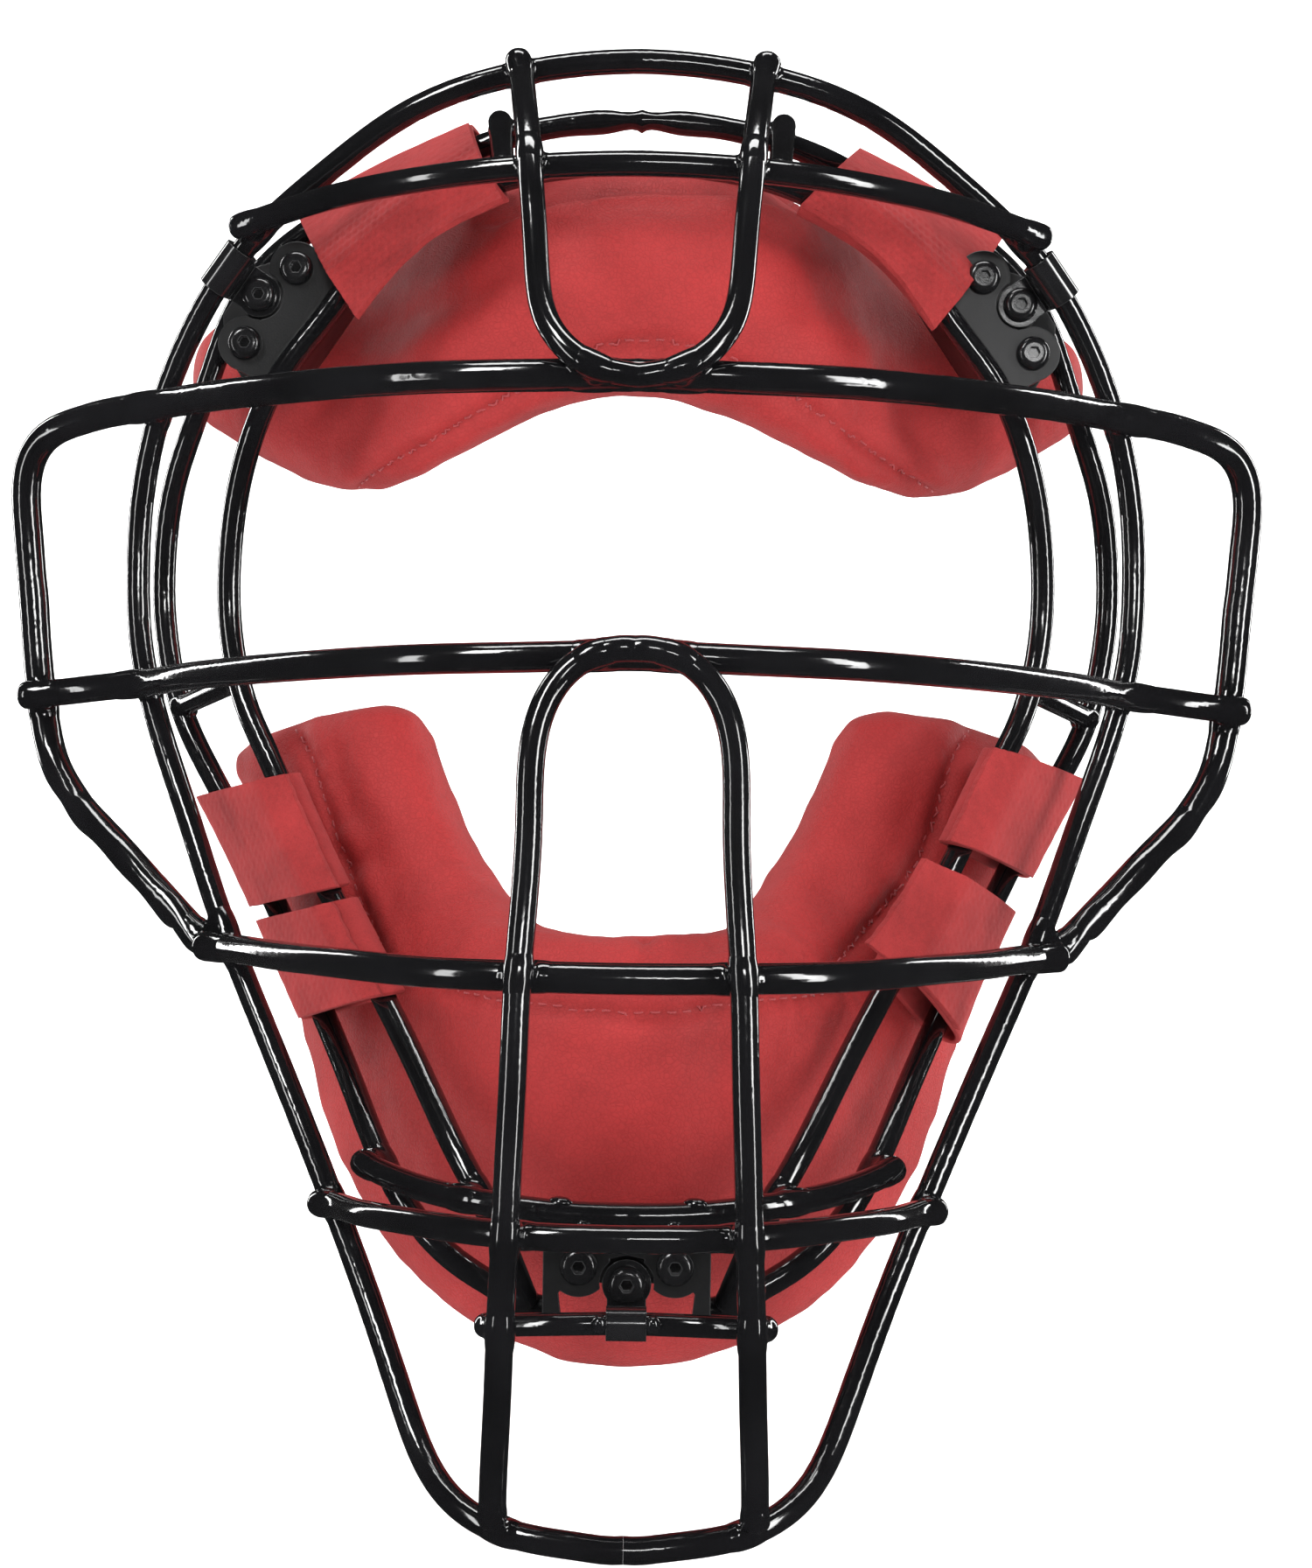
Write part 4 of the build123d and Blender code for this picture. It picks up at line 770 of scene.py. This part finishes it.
def on_surface(bvh, frame_points, step=0.8, first=True):
    """Projects a line given in frame positions onto a mesh, on its front or its back; misses are dropped."""
    dense = resample(np.asarray(frame_points, float), 4.0)
    hits = []
    eye = Vector((0, EYE_Y, 0))
    for u, v in dense:
        d = (Vector(at_depth(u, v, 0.0)) - eye).normalized()
        hit = bvh.ray_cast(eye, d) if first else bvh.ray_cast(eye + d * 1200, -d)
        if hit[0] is not None:
            hits.append(np.array(hit[0]))
    return resample(hits, step) if len(hits) > 2 else None


def sew(obj, seams, depth=1.5, width=1.7, ridge=0.5, gather=0.32):
    """Presses seam channels into a padded surface, raises the fabric beside them and gathers it."""
    co, no = coords(obj), normals(obj)
    for s_index, seam in enumerate(seams):
        tree = KDTree(len(seam))
        for i, p in enumerate(seam):
            tree.insert(p, i)
        tree.balance()
        along = np.concatenate([[0], np.cumsum(np.linalg.norm(np.diff(seam, axis=0), axis=1))])
        total = along[-1]
        for i in range(len(co)):
            _, j, d = tree.find(co[i])
            if d > 16:
                continue
            fade = min(1.0, along[j] / 5.0, (total - along[j]) / 5.0) if total > 12 else 1.0
            fade = 0.25 + 0.75 * max(0.0, fade)
            groove = -depth * math.exp(-((d / width) ** 2)) + ridge * math.exp(-(((d - 4.2) / 2.4) ** 2))
            wob = math.sin(along[j] * 0.95 + 1.7 * math.sin(along[j] * 0.31 + s_index)) * math.exp(-d / 5.0) * gather
            co[i] += no[i] * (groove * fade + wob * fade)
    set_coords(obj, co)


def eased(line, times=6):
    """The same line with its small wobble smoothed away, ends kept."""
    line = np.array(line, float)
    for _ in range(times):
        line[2:-2] = (line[:-4] + line[1:-3] + line[2:-2] + line[3:-1] + line[4:]) / 5
    return line


def folds(obj, frame_lines):
    """Soft folds in a cover: each is (points seen in the frame, half width, depth)."""
    surface_now = tree_of(obj)
    co, no = coords(obj), normals(obj)
    for points, half, depth in frame_lines:
        line = on_surface(surface_now, points)
        if line is None:
            continue
        tree = KDTree(len(line))
        for i, p in enumerate(line):
            tree.insert(p, i)
        tree.balance()
        for i in range(len(co)):
            _, j, d = tree.find(co[i])
            if d > 4 * half:
                continue
            end = math.sin(math.pi * (j + 0.5) / len(line)) ** 0.6
            shape = -math.exp(-((d / half) ** 2)) + 0.55 * math.exp(-(((d - 2.1 * half) / half) ** 2))
            co[i] += no[i] * (depth * shape * end)
    set_coords(obj, co)


def rumple(obj, amount, scale, seed=0.0):
    co, no = coords(obj), normals(obj)
    for i in range(len(co)):
        p = Vector(co[i] * [1.0, 1.0, 0.55] * scale) + Vector((seed, 3.1, -seed))
        co[i] += no[i] * amount * noise.fractal(p, 0.9, 2.0, 3)
    set_coords(obj, co)


def stitches(name, obj, seams, body, pitch=3.1, length=2.1, radius=0.18, offset=0.0):
    bvh = tree_of(obj)
    shapes = []
    for seam in seams:
        along = np.concatenate([[0], np.cumsum(np.linalg.norm(np.diff(seam, axis=0), axis=1))])
        for s in np.arange(1.5, along[-1] - 1.5, pitch):
            pts = []
            for t in np.linspace(-length / 2, length / 2, 6):
                p = np.array([np.interp(s + t, along, seam[:, k]) for k in range(3)])
                near = bvh.find_nearest(Vector(p))
                lift = radius * 0.55 - 0.32 * (2 * t / length) ** 4
                pts.append(np.array(near[0]) + np.array(near[1]) * (lift + offset))
            pts = np.array(pts)
            if np.linalg.norm(pts[-1] - pts[0]) < 0.6:
                continue
            shapes.append(rings_mesh(capsule_rings(pts, [radius * 0.6] + [radius] * 4 + [radius * 0.6], 8)))
    made = join_shapes(name, shapes, thread_mat)
    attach(made, body)
    return made


FOREHEAD = [
    (0, [(-6, 80.5), (-10.5, 94), (-9, 111), (-2, 126.5), (11, 134.5), (22, 126), (25, 103), (18, 85), (6, 78.5)]),
    (25, [(-3, 74), (-7.5, 88), (-6, 105), (1, 119.5), (15, 130.5), (27, 121), (29, 99), (23, 80), (9, 72)]),
    (44, [(5, 65.5), (1.5, 79.5), (3, 92), (9, 104), (19, 116.5), (34, 111), (38, 91), (33, 73), (15, 63.5)]),
    (60, [(14.5, 63.5), (16.5, 75), (18.2, 85), (21.0, 95.5), (30, 109), (44, 107), (50, 89), (45, 70), (28, 60.5)]),
    (77, [(26, 68.5), (22, 76), (22, 85), (24, 94.5), (34, 107.5), (49, 105), (57.5, 90), (53, 74), (38, 65.5)]),
    (94, [(34, 77.5), (30.5, 82.5), (30.5, 88.5), (33, 94.5), (38, 99), (47, 97.5), (54, 89), (51, 80), (41, 75.5)]),
]
xs = [-x for x, _ in FOREHEAD[:0:-1]] + [x for x, _ in FOREHEAD]
secs = [s for _, s in FOREHEAD[:0:-1]] + [s for _, s in FOREHEAD]
table = np.array([np.array(s, float).ravel() for s in secs])
rings = []
for x in np.linspace(-94, 94, 94):
    sec = natural_cubic(xs, table, [x])[0].reshape(-1, 2)
    ring = periodic_section(sec)
    rings.append(np.column_stack([np.full(len(ring), x), ring]))
for end in (0, -1):
    base = rings[end]
    mid = base.mean(0)
    extra = []
    for a in (0.35, 0.7, 1.0, 1.25, 1.42):
        r = mid + (base - mid) * math.cos(a)
        r[:, 0] = base[0, 0] + np.sign(base[0, 0]) * 5.0 * math.sin(a)
        extra.append(r)
    rings = extra[::-1] + rings if end == 0 else rings + extra
v, f = rings_mesh(rings)
forehead = new_object("forehead_pad_cover", v, f, cover_mat)
surface = tree_of(forehead)
forehead_seams_px = [
    [(398, 568), (415, 552), (450, 527), (520, 488), (560, 464), (600, 442), (645, 412), (690, 394), (745, 388), (795, 396),
     (845, 416), (905, 452), (950, 482), (1020, 532), (1066, 562), (1090, 576)],
    [(745, 390), (747, 420), (746, 452)],
]
ledge_px = [(560, 262), (600, 243), (640, 232), (690, 224), (745, 220), (800, 221), (850, 226), (900, 238), (950, 262)]
fore_seams = [s for s in (on_surface(surface, q) for q in forehead_seams_px) if s is not None]
ledge = on_surface(surface, ledge_px)
simulate(forehead, np.vstack(fore_seams + ([ledge] if ledge is not None else [])), 3.4, 3.2)
refine(forehead, 2)
co, no = coords(forehead), normals(forehead)
px = to_frame(co)
lx, ly = np.array(ledge_px)[:, 0], np.array(ledge_px)[:, 1]
arc = np.interp(px[:, 0], lx, ly)
side_fade = np.clip((px[:, 0] - 540) / 40, 0, 1) * np.clip((965 - px[:, 0]) / 40, 0, 1)
over = np.clip((arc - px[:, 1]) / 9.0, 0, 1) * (no[:, 1] < 0.25) * side_fade
co -= no * (2.6 * over)[:, None]
set_coords(forehead, co)
surface = tree_of(forehead)
fore_seams = [s for s in (on_surface(surface, q) for q in forehead_seams_px) if s is not None]
folds(forehead, [
    ([(408, 388), (510, 346), (630, 280)], 3.6, 0.9), ([(678, 238), (750, 228), (800, 232)], 3.0, 0.6),
    ([(978, 448), (992, 508)], 3.0, 0.7), ([(870, 340), (1014, 358)], 3.8, 0.7), ([(396, 424), (352, 490)], 3.0, 0.7),
    ([(600, 330), (640, 380)], 3.0, 0.5),
])
fore_seams = [eased(s) for s in fore_seams]
sew(forehead, fore_seams, 1.2, 1.4, 0.45, 0.10)
surface = tree_of(forehead)
fore_back = [eased(s) for s in (on_surface(surface, line, first=False) for line in (
    [(300, 455), (400, 430), (560, 345), (737, 315), (910, 345), (1065, 430), (1165, 455)], [(737, 320), (737, 425)])) if s is not None]
sew(forehead, fore_back, 1.3, 1.5, 0.5, 0.12)
rumple(forehead, 0.75, 0.030, 2.0)
rumple(forehead, 0.16, 0.13, 5.0)
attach(forehead, "inner_cage")
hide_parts("forehead_pad")
stitches("forehead_pad_stitching", forehead, fore_seams[:1] + fore_back[:1], "inner_cage")

CHIN = [
    ((0, -31, -70.3), (0, -0.26, 0.966), (1, 0, 0), 89.5, 32.5),
    ((27, -23, -64.4), (-0.28, -0.3, 0.91), (0.85, 0.45, 0.25), 80, 31),
    ((43.8, -1.5, -40), (-0.72, -0.45, 0.52), (0.39, 0.53, 0.75), 57, 28),
    ((56.6, 15, -12), (-0.84, -0.5, 0.14), (0.28, 0.25, 0.93), 48, 25),
    ((64.6, 21, 9.6), (-0.86, -0.5, -0.02), (0.2, 0.1, 0.97), 48.5, 21),
]
rows, t_at = [], []
for sx in (-1, 1):
    group = CHIN[:0:-1] if sx < 0 else CHIN
    for mid, wide, run, w, d in group:
        mid, wide, run = (np.array(q, float) * [sx, 1, 1] for q in (mid, wide, run))
        if sx < 0:
            run = -run
        rows.append(np.concatenate([mid, wide, run, [w, d]]))
t_at = np.concatenate([[0], np.cumsum([np.linalg.norm(rows[i + 1][:3] - rows[i][:3]) for i in range(len(rows) - 1)])])
rings = []
for t in np.linspace(0, t_at[-1], 110):
    q = natural_cubic(t_at, np.array(rows), [t])[0]
    mid, wide, run, w, d = q[:3], q[3:6], q[6:9], q[9], q[10]
    run /= np.linalg.norm(run)
    wide = wide - run * wide.dot(run)
    wide /= np.linalg.norm(wide)
    thick = np.cross(run, wide)
    a = np.linspace(0, 2 * math.pi, 56, endpoint=False)
    power = 2 / 3.4
    cx, cy = np.sign(np.cos(a)) * np.abs(np.cos(a)) ** power, np.sign(np.sin(a)) * np.abs(np.sin(a)) ** power
    rings.append(mid + wide * (cx * w / 2)[:, None] + thick * (cy * d / 2)[:, None])
for end in (0, -1):
    base = rings[end]
    step = base.mean(0) - rings[1 if end == 0 else -2].mean(0)
    step /= np.linalg.norm(step)
    mid = base.mean(0)
    extra = [mid + (base - mid) * math.cos(a) ** 0.5 + step * 5.0 * math.sin(a) for a in (0.35, 0.7, 1.0, 1.25, 1.45)]
    rings = extra[::-1] + rings if end == 0 else rings + extra
v, f = rings_mesh(rings)
chin = new_object("chin_pad_cover", v, f, cover_mat)
surface = tree_of(chin)
chin_seams_px = [
    [(498, 1122), (545, 1138), (630, 1150), (740, 1160), (840, 1148), (960, 1130), (985, 1122)],
    [(737, 1068), (738, 1085), (738, 1108)],
    [(322, 812), (345, 845), (372, 915), (395, 980), (420, 1050), (452, 1130)],
    [(1152, 802), (1120, 822), (1092, 860), (1062, 965), (1020, 1030), (972, 1085), (935, 1118)],
]
chin_seams = [s for s in (on_surface(surface, q) for q in chin_seams_px) if s is not None]
simulate(chin, np.vstack(chin_seams), 3.4, 3.2)
refine(chin, 2)
co = coords(chin)
lean = np.clip((co[:, 0] - 58) / 26, 0, 1) * np.clip((co[:, 2] + 48) / 34, 0, 1)
co[:, 0] += 3.4 * lean * lean * (3 - 2 * lean)
set_coords(chin, co)
surface = tree_of(chin)
chin_seams = [s for s in (on_surface(surface, q) for q in chin_seams_px) if s is not None]
folds(chin, [
    ([(673, 1154), (668, 1235)], 3.6, 0.8), ([(810, 1143), (818, 1220), (810, 1308)], 3.4, 0.9),
    ([(382, 989), (430, 982)], 2.6, 0.9), ([(372, 850), (396, 912), (424, 972)], 2.8, 0.8),
    ([(739, 1112), (832, 1072)], 3.0, 0.8), ([(904, 1070), (966, 978), (986, 890)], 4.0, 0.8),
    ([(458, 1176), (486, 1253), (563, 1352)], 3.8, 0.9), ([(600, 1110), (560, 1072)], 3.0, 0.7),
    ([(905, 1190), (880, 1270)], 3.6, 0.7),
])
chin_seams = [eased(s) for s in chin_seams]
sew(chin, chin_seams, 1.2, 1.4, 0.45, 0.12)
surface = tree_of(chin)
chin_back = [eased(s) for s in (on_surface(surface, line, first=False) for line in (
    [(350, 860), (400, 1010), (500, 1180), (610, 1250), (737, 1275), (865, 1250), (975, 1180), (1070, 1010), (1115, 860)],
    [(737, 1285), (737, 1480)])) if s is not None]
sew(chin, chin_back, 1.3, 1.5, 0.5, 0.12)
rumple(chin, 0.8, 0.032, 9.0)
rumple(chin, 0.16, 0.13, 4.0)
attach(chin, "inner_cage")
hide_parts("chin_and_cheek_pad")
stitches("chin_pad_stitching", chin, [chin_seams[0]] + chin_seams[2:] + chin_back[:1], "inner_cage")


# ------------------------------------------------------------------------ straps
def on_wire(name, u, v):
    """Point of an inner-cage loop seen at frame position (u, v)."""
    line = resample(wires[name], 0.4)
    d = np.linalg.norm(to_frame(line) - [u, v], axis=1)
    return line[int(d.argmin())]


# Frame positions where each strap's two edges cross the front and rear loops: front, rear, front, rear;
# then its slack, the reach of its tail, and how far its rear fold stands off the wire at either edge.
STRAPS = {
    "upper_left": ((572, 222), (548, 152), (398, 336), (358, 266), 0.9, 11.5, (2.6, 1.2)),
    "upper_right": ((920, 240), (972, 178), (1086, 352), (1132, 283), 0.9, 9.2, (2.6, 2.2)),
    "cheek_left": ((325, 885), (252, 905), (385, 1010), (300, 1036), 0.85, 7.5, (0.0, 0.0)),
    "cheek_right": ((1143, 858), (1213, 885), (1103, 970), (1168, 1003), 0.85, 8.5, (-0.6, 0.0)),
    "jaw_left": ((394, 1026), (316, 1048), (441, 1136), (368, 1160), 0.85, 5.0, (0.4, 0.0)),
    "jaw_right": ((1083, 1000), (1152, 1045), (1036, 1122), (1100, 1184), 0.85, 12.0, (0.0, 3.6)),
}
STRAP_T = 1.3


def strap_line(front, rear, run, slack, reach, proud):
    """Closed centre line of the band round the two wires, and the line of its lapped tail, at one station."""
    u = rear - front
    gap = np.linalg.norm(u)
    u /= gap
    n = np.cross(u, run)
    n /= np.linalg.norm(n)
    if n[1] > 0:
        n = -n
    r = 2.4 + slack + STRAP_T / 2
    loop = []
    for a in np.linspace(-math.pi / 2, math.pi / 2, 15):
        loop.append(rear + u * (r + proud) * math.cos(a) + n * r * math.sin(a))
    for t in np.linspace(0, 1, 26)[1:-1]:
        bow = 0.5 * math.sin(math.pi * t)
        loop.append(rear + n * (r + bow) + (front - rear) * t)
    for a in np.linspace(math.pi / 2, 3 * math.pi / 2, 15):
        loop.append(front + r * (u * math.cos(a) + n * math.sin(a)))
    for t in np.linspace(0, 1, 16)[1:-1]:
        loop.append(front - n * r + (rear - front) * t)
    tail = []
    r2 = r + STRAP_T + 0.12
    for t in np.linspace(1.0, 0, 34):
        bow = 0.5 * math.sin(math.pi * t)
        tail.append(front + n * (r2 + bow - 0.35 * max(0.0, (t - 0.93) / 0.07)) + (rear - front) * t)
    turn = math.radians(38)
    for a in np.linspace(0, turn, 7)[1:]:
        tail.append(front + r2 * (n * math.cos(a) - u * math.sin(a)))
    heading = -(n * math.sin(turn) + u * math.cos(turn))
    last = tail[-1]
    left = max(2.0, (reach - r2 * math.sin(turn)) / math.cos(turn))
    for t in np.linspace(0, left, 16)[1:]:
        tail.append(last + heading * t + n * 0.02 * t * t)
    return np.array(loop), np.array(tail), n


def sheet(lines, closed, thickness, fine=1):
    """A strip of cloth through equal-length lines across its width, with its own thickness."""
    g = np.array(lines)
    w, m = g.shape[:2]
    along = np.roll(g, -1, 1) - np.roll(g, 1, 1) if closed else np.gradient(g, axis=1)
    across = np.gradient(g, axis=0)
    nrm = np.cross(along, across)
    nrm /= np.maximum(np.linalg.norm(nrm, axis=2), 1e-9)[..., None]
    top, bottom = g + nrm * thickness / 2, g - nrm * thickness / 2
    verts = [*top.reshape(-1, 3), *bottom.reshape(-1, 3)]
    off = w * m
    faces = []
    last = m if closed else m - 1
    for i in range(w - 1):
        for j in range(last):
            k = (j + 1) % m
            faces.append((i * m + j, i * m + k, (i + 1) * m + k, (i + 1) * m + j))
            faces.append((off + i * m + j, off + (i + 1) * m + j, off + (i + 1) * m + k, off + i * m + k))
    for j in range(last):
        k = (j + 1) % m
        for i in (0, w - 1):
            faces.append((i * m + j, i * m + k, off + i * m + k, off + i * m + j))
    if not closed:
        for i in range(w - 1):
            for j in (0, m - 1):
                faces.append((i * m + j, (i + 1) * m + j, off + (i + 1) * m + j, off + i * m + j))
    return verts, faces


for kind, (fa, ra, fb, rb, slack, reach, proud) in STRAPS.items():
    place, side_name = kind.split("_")
    share = np.linspace(0, 1, 29)
    fs = np.array([on_wire("front", *(np.array(fa) * (1 - t) + np.array(fb) * t)) for t in share])
    rs = np.array([on_wire("rear", *(np.array(ra) * (1 - t) + np.array(rb) * t)) for t in share])
    fs, rs = (natural_cubic([0, 0.5, 1], q[[0, 14, 28]], share) for q in (fs, rs))
    run = fs[-1] - fs[0]
    run /= np.linalg.norm(run)
    loops, tails = [], []
    for i, (a, b) in enumerate(zip(fs, rs)):
        loop, tail, n_out = strap_line(a, b, run, slack, reach + 0.5 * noise.noise(Vector((i * 0.23, 4.0, len(kind)))),
                                       proud[0] + (proud[1] - proud[0]) * share[i])
        loops.append(loop + n_out * 0.12 * noise.noise(Vector((i * 0.33, 2.0, len(kind)))))
        tails.append(tail + n_out * 0.12 * noise.noise(Vector((i * 0.3, 7.0, len(kind)))))
    band = new_object(place + "_strap_band_" + side_name, *sheet(loops, True, STRAP_T), strap_back_mat)
    bv = band.modifiers.new("bevel", "BEVEL")
    bv.width, bv.segments, bv.limit_method, bv.angle_limit = 0.28 * MM, 2, "ANGLE", math.radians(50)
    bake(band)
    tail_obj = new_object(place + "_strap_tail_" + side_name, *sheet(tails, False, STRAP_T), strap_mat)
    sub = tail_obj.modifiers.new("sub", "SUBSURF")
    sub.subdivision_type = "SIMPLE"
    sub.levels = sub.render_levels = 2
    bake(tail_obj)
    co, no = coords(tail_obj), normals(tail_obj)
    e1 = run
    e2 = np.cross(np.array([0, -1.0, 0]), run)
    e2 /= np.linalg.norm(e2)
    pitch = 1.75
    a1, a2 = co @ e1 / pitch, co @ e2 / (pitch * 0.866)
    row = np.round(a2)
    da, db = (a1 - 0.5 * (row % 2)) - np.round(a1 - 0.5 * (row % 2)), a2 - row
    pit = np.exp(-((da * pitch) ** 2 + (db * pitch * 0.866) ** 2) / 0.30)
    away = (co - fs.mean(0)) @ ((rs.mean(0) - fs.mean(0)) / np.linalg.norm(rs.mean(0) - fs.mean(0)))
    lower_half = np.clip((9.0 - away) / 4.0, 0.12, 1) if place == "upper" else 0.35
    facing_out = np.clip(-no[:, 1] * 2, 0, 1) * lower_half
    co -= no * (0.30 * pit * facing_out)[:, None]
    set_coords(tail_obj, co)
    for o in (band, tail_obj):
        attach(o, "inner_cage")
    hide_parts(place + "_strap_" + side_name)


# ----------------------------------------------------------------------- springs
def coil(x, y0, y1, z, turns=4.6, radius=2.9, wire=0.45):
    n = int(turns * 26)
    pts = []
    for k in range(n + 1):
        t = k / n
        a = 2 * math.pi * turns * t
        lead = t + 0.055 * math.sin(2 * math.pi * t) * -1
        pts.append((x + radius * math.cos(a), y0 + wire + (y1 - y0 - 2 * wire) * min(1, max(0, lead)), z + radius * math.sin(a)))
    return rings_mesh(capsule_rings(np.array(pts), [wire * 0.7] + [wire] * (n - 1) + [wire * 0.7], 10))


for side_name in ("left", "right", "chin"):
    lo, hi = (Vector(v) / MM - Vector(OFF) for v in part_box("isolator_springs_" + side_name))
    if side_name == "chin":
        places = [(-8.6, -86.0), (8.6, -86.0)]
    else:
        sx = -1 if side_name == "left" else 1
        places = [(sx * 69.4, 103.2), (sx * 79.6, 88.0)]
    springs = join_shapes("coil_springs_" + side_name, [coil(x, lo.y, hi.y, z) for x, z in places], spring_mat)
    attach(springs, "inner_cage")
    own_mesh(springs)
    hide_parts("isolator_springs_" + side_name)

# ------------------------------------------------------------- stage and lighting
def stage_material(name, tone, glow):
    mat, nt, bsdf = principled(name)
    n = node(nt, "ShaderNodeTexNoise", Scale=3.0, Detail=3.0)
    link(nt, ramp(nt, n.outputs["Fac"], (tone * 0.995, tone * 0.995, tone, 1), (tone, tone, tone, 1)), bsdf.inputs["Base Color"])
    bsdf.inputs["Roughness"].default_value = 0.9
    bsdf.inputs["Emission Color"].default_value = (1, 1, 1, 1)
    bsdf.inputs["Emission Strength"].default_value = glow
    return mat


floor_z = -135.5
verts, faces = [], []
profile = [(-900, floor_z), (-300, floor_z), (300, floor_z), (700, floor_z)]
for k in range(1, 13):
    a = math.pi / 2 * k / 12
    profile.append((700 + 500 * math.sin(a), floor_z + 500 * (1 - math.cos(a))))
profile.append((1200, 2200))
for x in (-2400, 2400):
    verts += [(x, y, z) for y, z in profile]
m = len(profile)
faces = [(i, i + 1, m + i + 1, m + i) for i in range(m - 1)]
sweep_obj = new_object("pale_floor", verts, faces, stage_material("pale_floor", 0.9, 0.6))
sweep_obj.visible_glossy = False


def area(name, place, target, size, size_y, power, color=(1, 1, 1)):
    data = bpy.data.lights.new(name, "AREA")
    data.shape, data.size, data.size_y, data.energy, data.color = "RECTANGLE", size, size_y, power, color
    obj = bpy.data.objects.new(name, data)
    bpy.context.scene.collection.objects.link(obj)
    obj.location = place
    obj.rotation_euler = (Vector(target) - Vector(place)).to_track_quat("-Z", "Y").to_euler()
    return obj


area("key", (-0.55, -0.8, 0.8), (0, 0, 0), 0.22, 0.42, 5.6)
area("fill", (0.85, -0.75, 0.3), (0, 0, 0), 0.16, 0.7, 4.0)
area("top", (0.0, -0.1, 0.95), (0, 0, 0), 0.7, 0.22, 4.2)
area("front", (0.15, -1.3, 0.25), (0, 0, 0), 0.30, 0.10, 1.6)
area("side_left", (-0.75, -0.55, 0.05), (-0.05, 0, 0.04), 0.10, 0.6, 1.5)
area("side_right", (0.75, -0.55, 0.0), (0.05, 0, 0.03), 0.10, 0.6, 2.2)
area("back_left", (-0.8, 0.5, 0.3), (0, 0, 0), 0.12, 0.8, 3.0)
area("back_right", (0.8, 0.5, 0.3), (0, 0, 0), 0.12, 0.8, 3.0)

world = bpy.data.worlds.new("studio")
bpy.context.scene.world = world
world.use_nodes = True
wn = world.node_tree
bg = wn.nodes["Background"]
paths = wn.nodes.new("ShaderNodeLightPath")
mixer = wn.nodes.new("ShaderNodeMix")
mixer.data_type = "FLOAT"
wn.links.new(paths.outputs["Is Glossy Ray"], mixer.inputs["Factor"])
mixer.inputs["A"].default_value, mixer.inputs["B"].default_value = 0.92, 0.02
wn.links.new(mixer.outputs["Result"], bg.inputs["Strength"])
bg.inputs["Color"].default_value = (1, 1, 1, 1)

cam_data = bpy.data.cameras.new("camera")
cam_data.sensor_width = 36.0
cam_data.lens = FOCAL * 36.0 / 1792.0
cam_data.shift_x = (750.0 - CENTRE_U) / 1792.0
cam_data.shift_y = 0.0
cam_data.clip_start, cam_data.clip_end = 0.01, 20
camera = bpy.data.objects.new("camera", cam_data)
bpy.context.scene.collection.objects.link(camera)
camera.matrix_world = Matrix.Translation(Vector((OFF + [0, EYE_Y, 0]) * MM)) @ Matrix.Rotation(math.pi / 2, 4, "X") @ Matrix.Rotation(ROLL, 4, "Z")
bpy.context.scene.camera = camera

bpy.context.scene.view_settings.view_transform = "Standard"
bpy.context.scene.view_settings.look = "None"
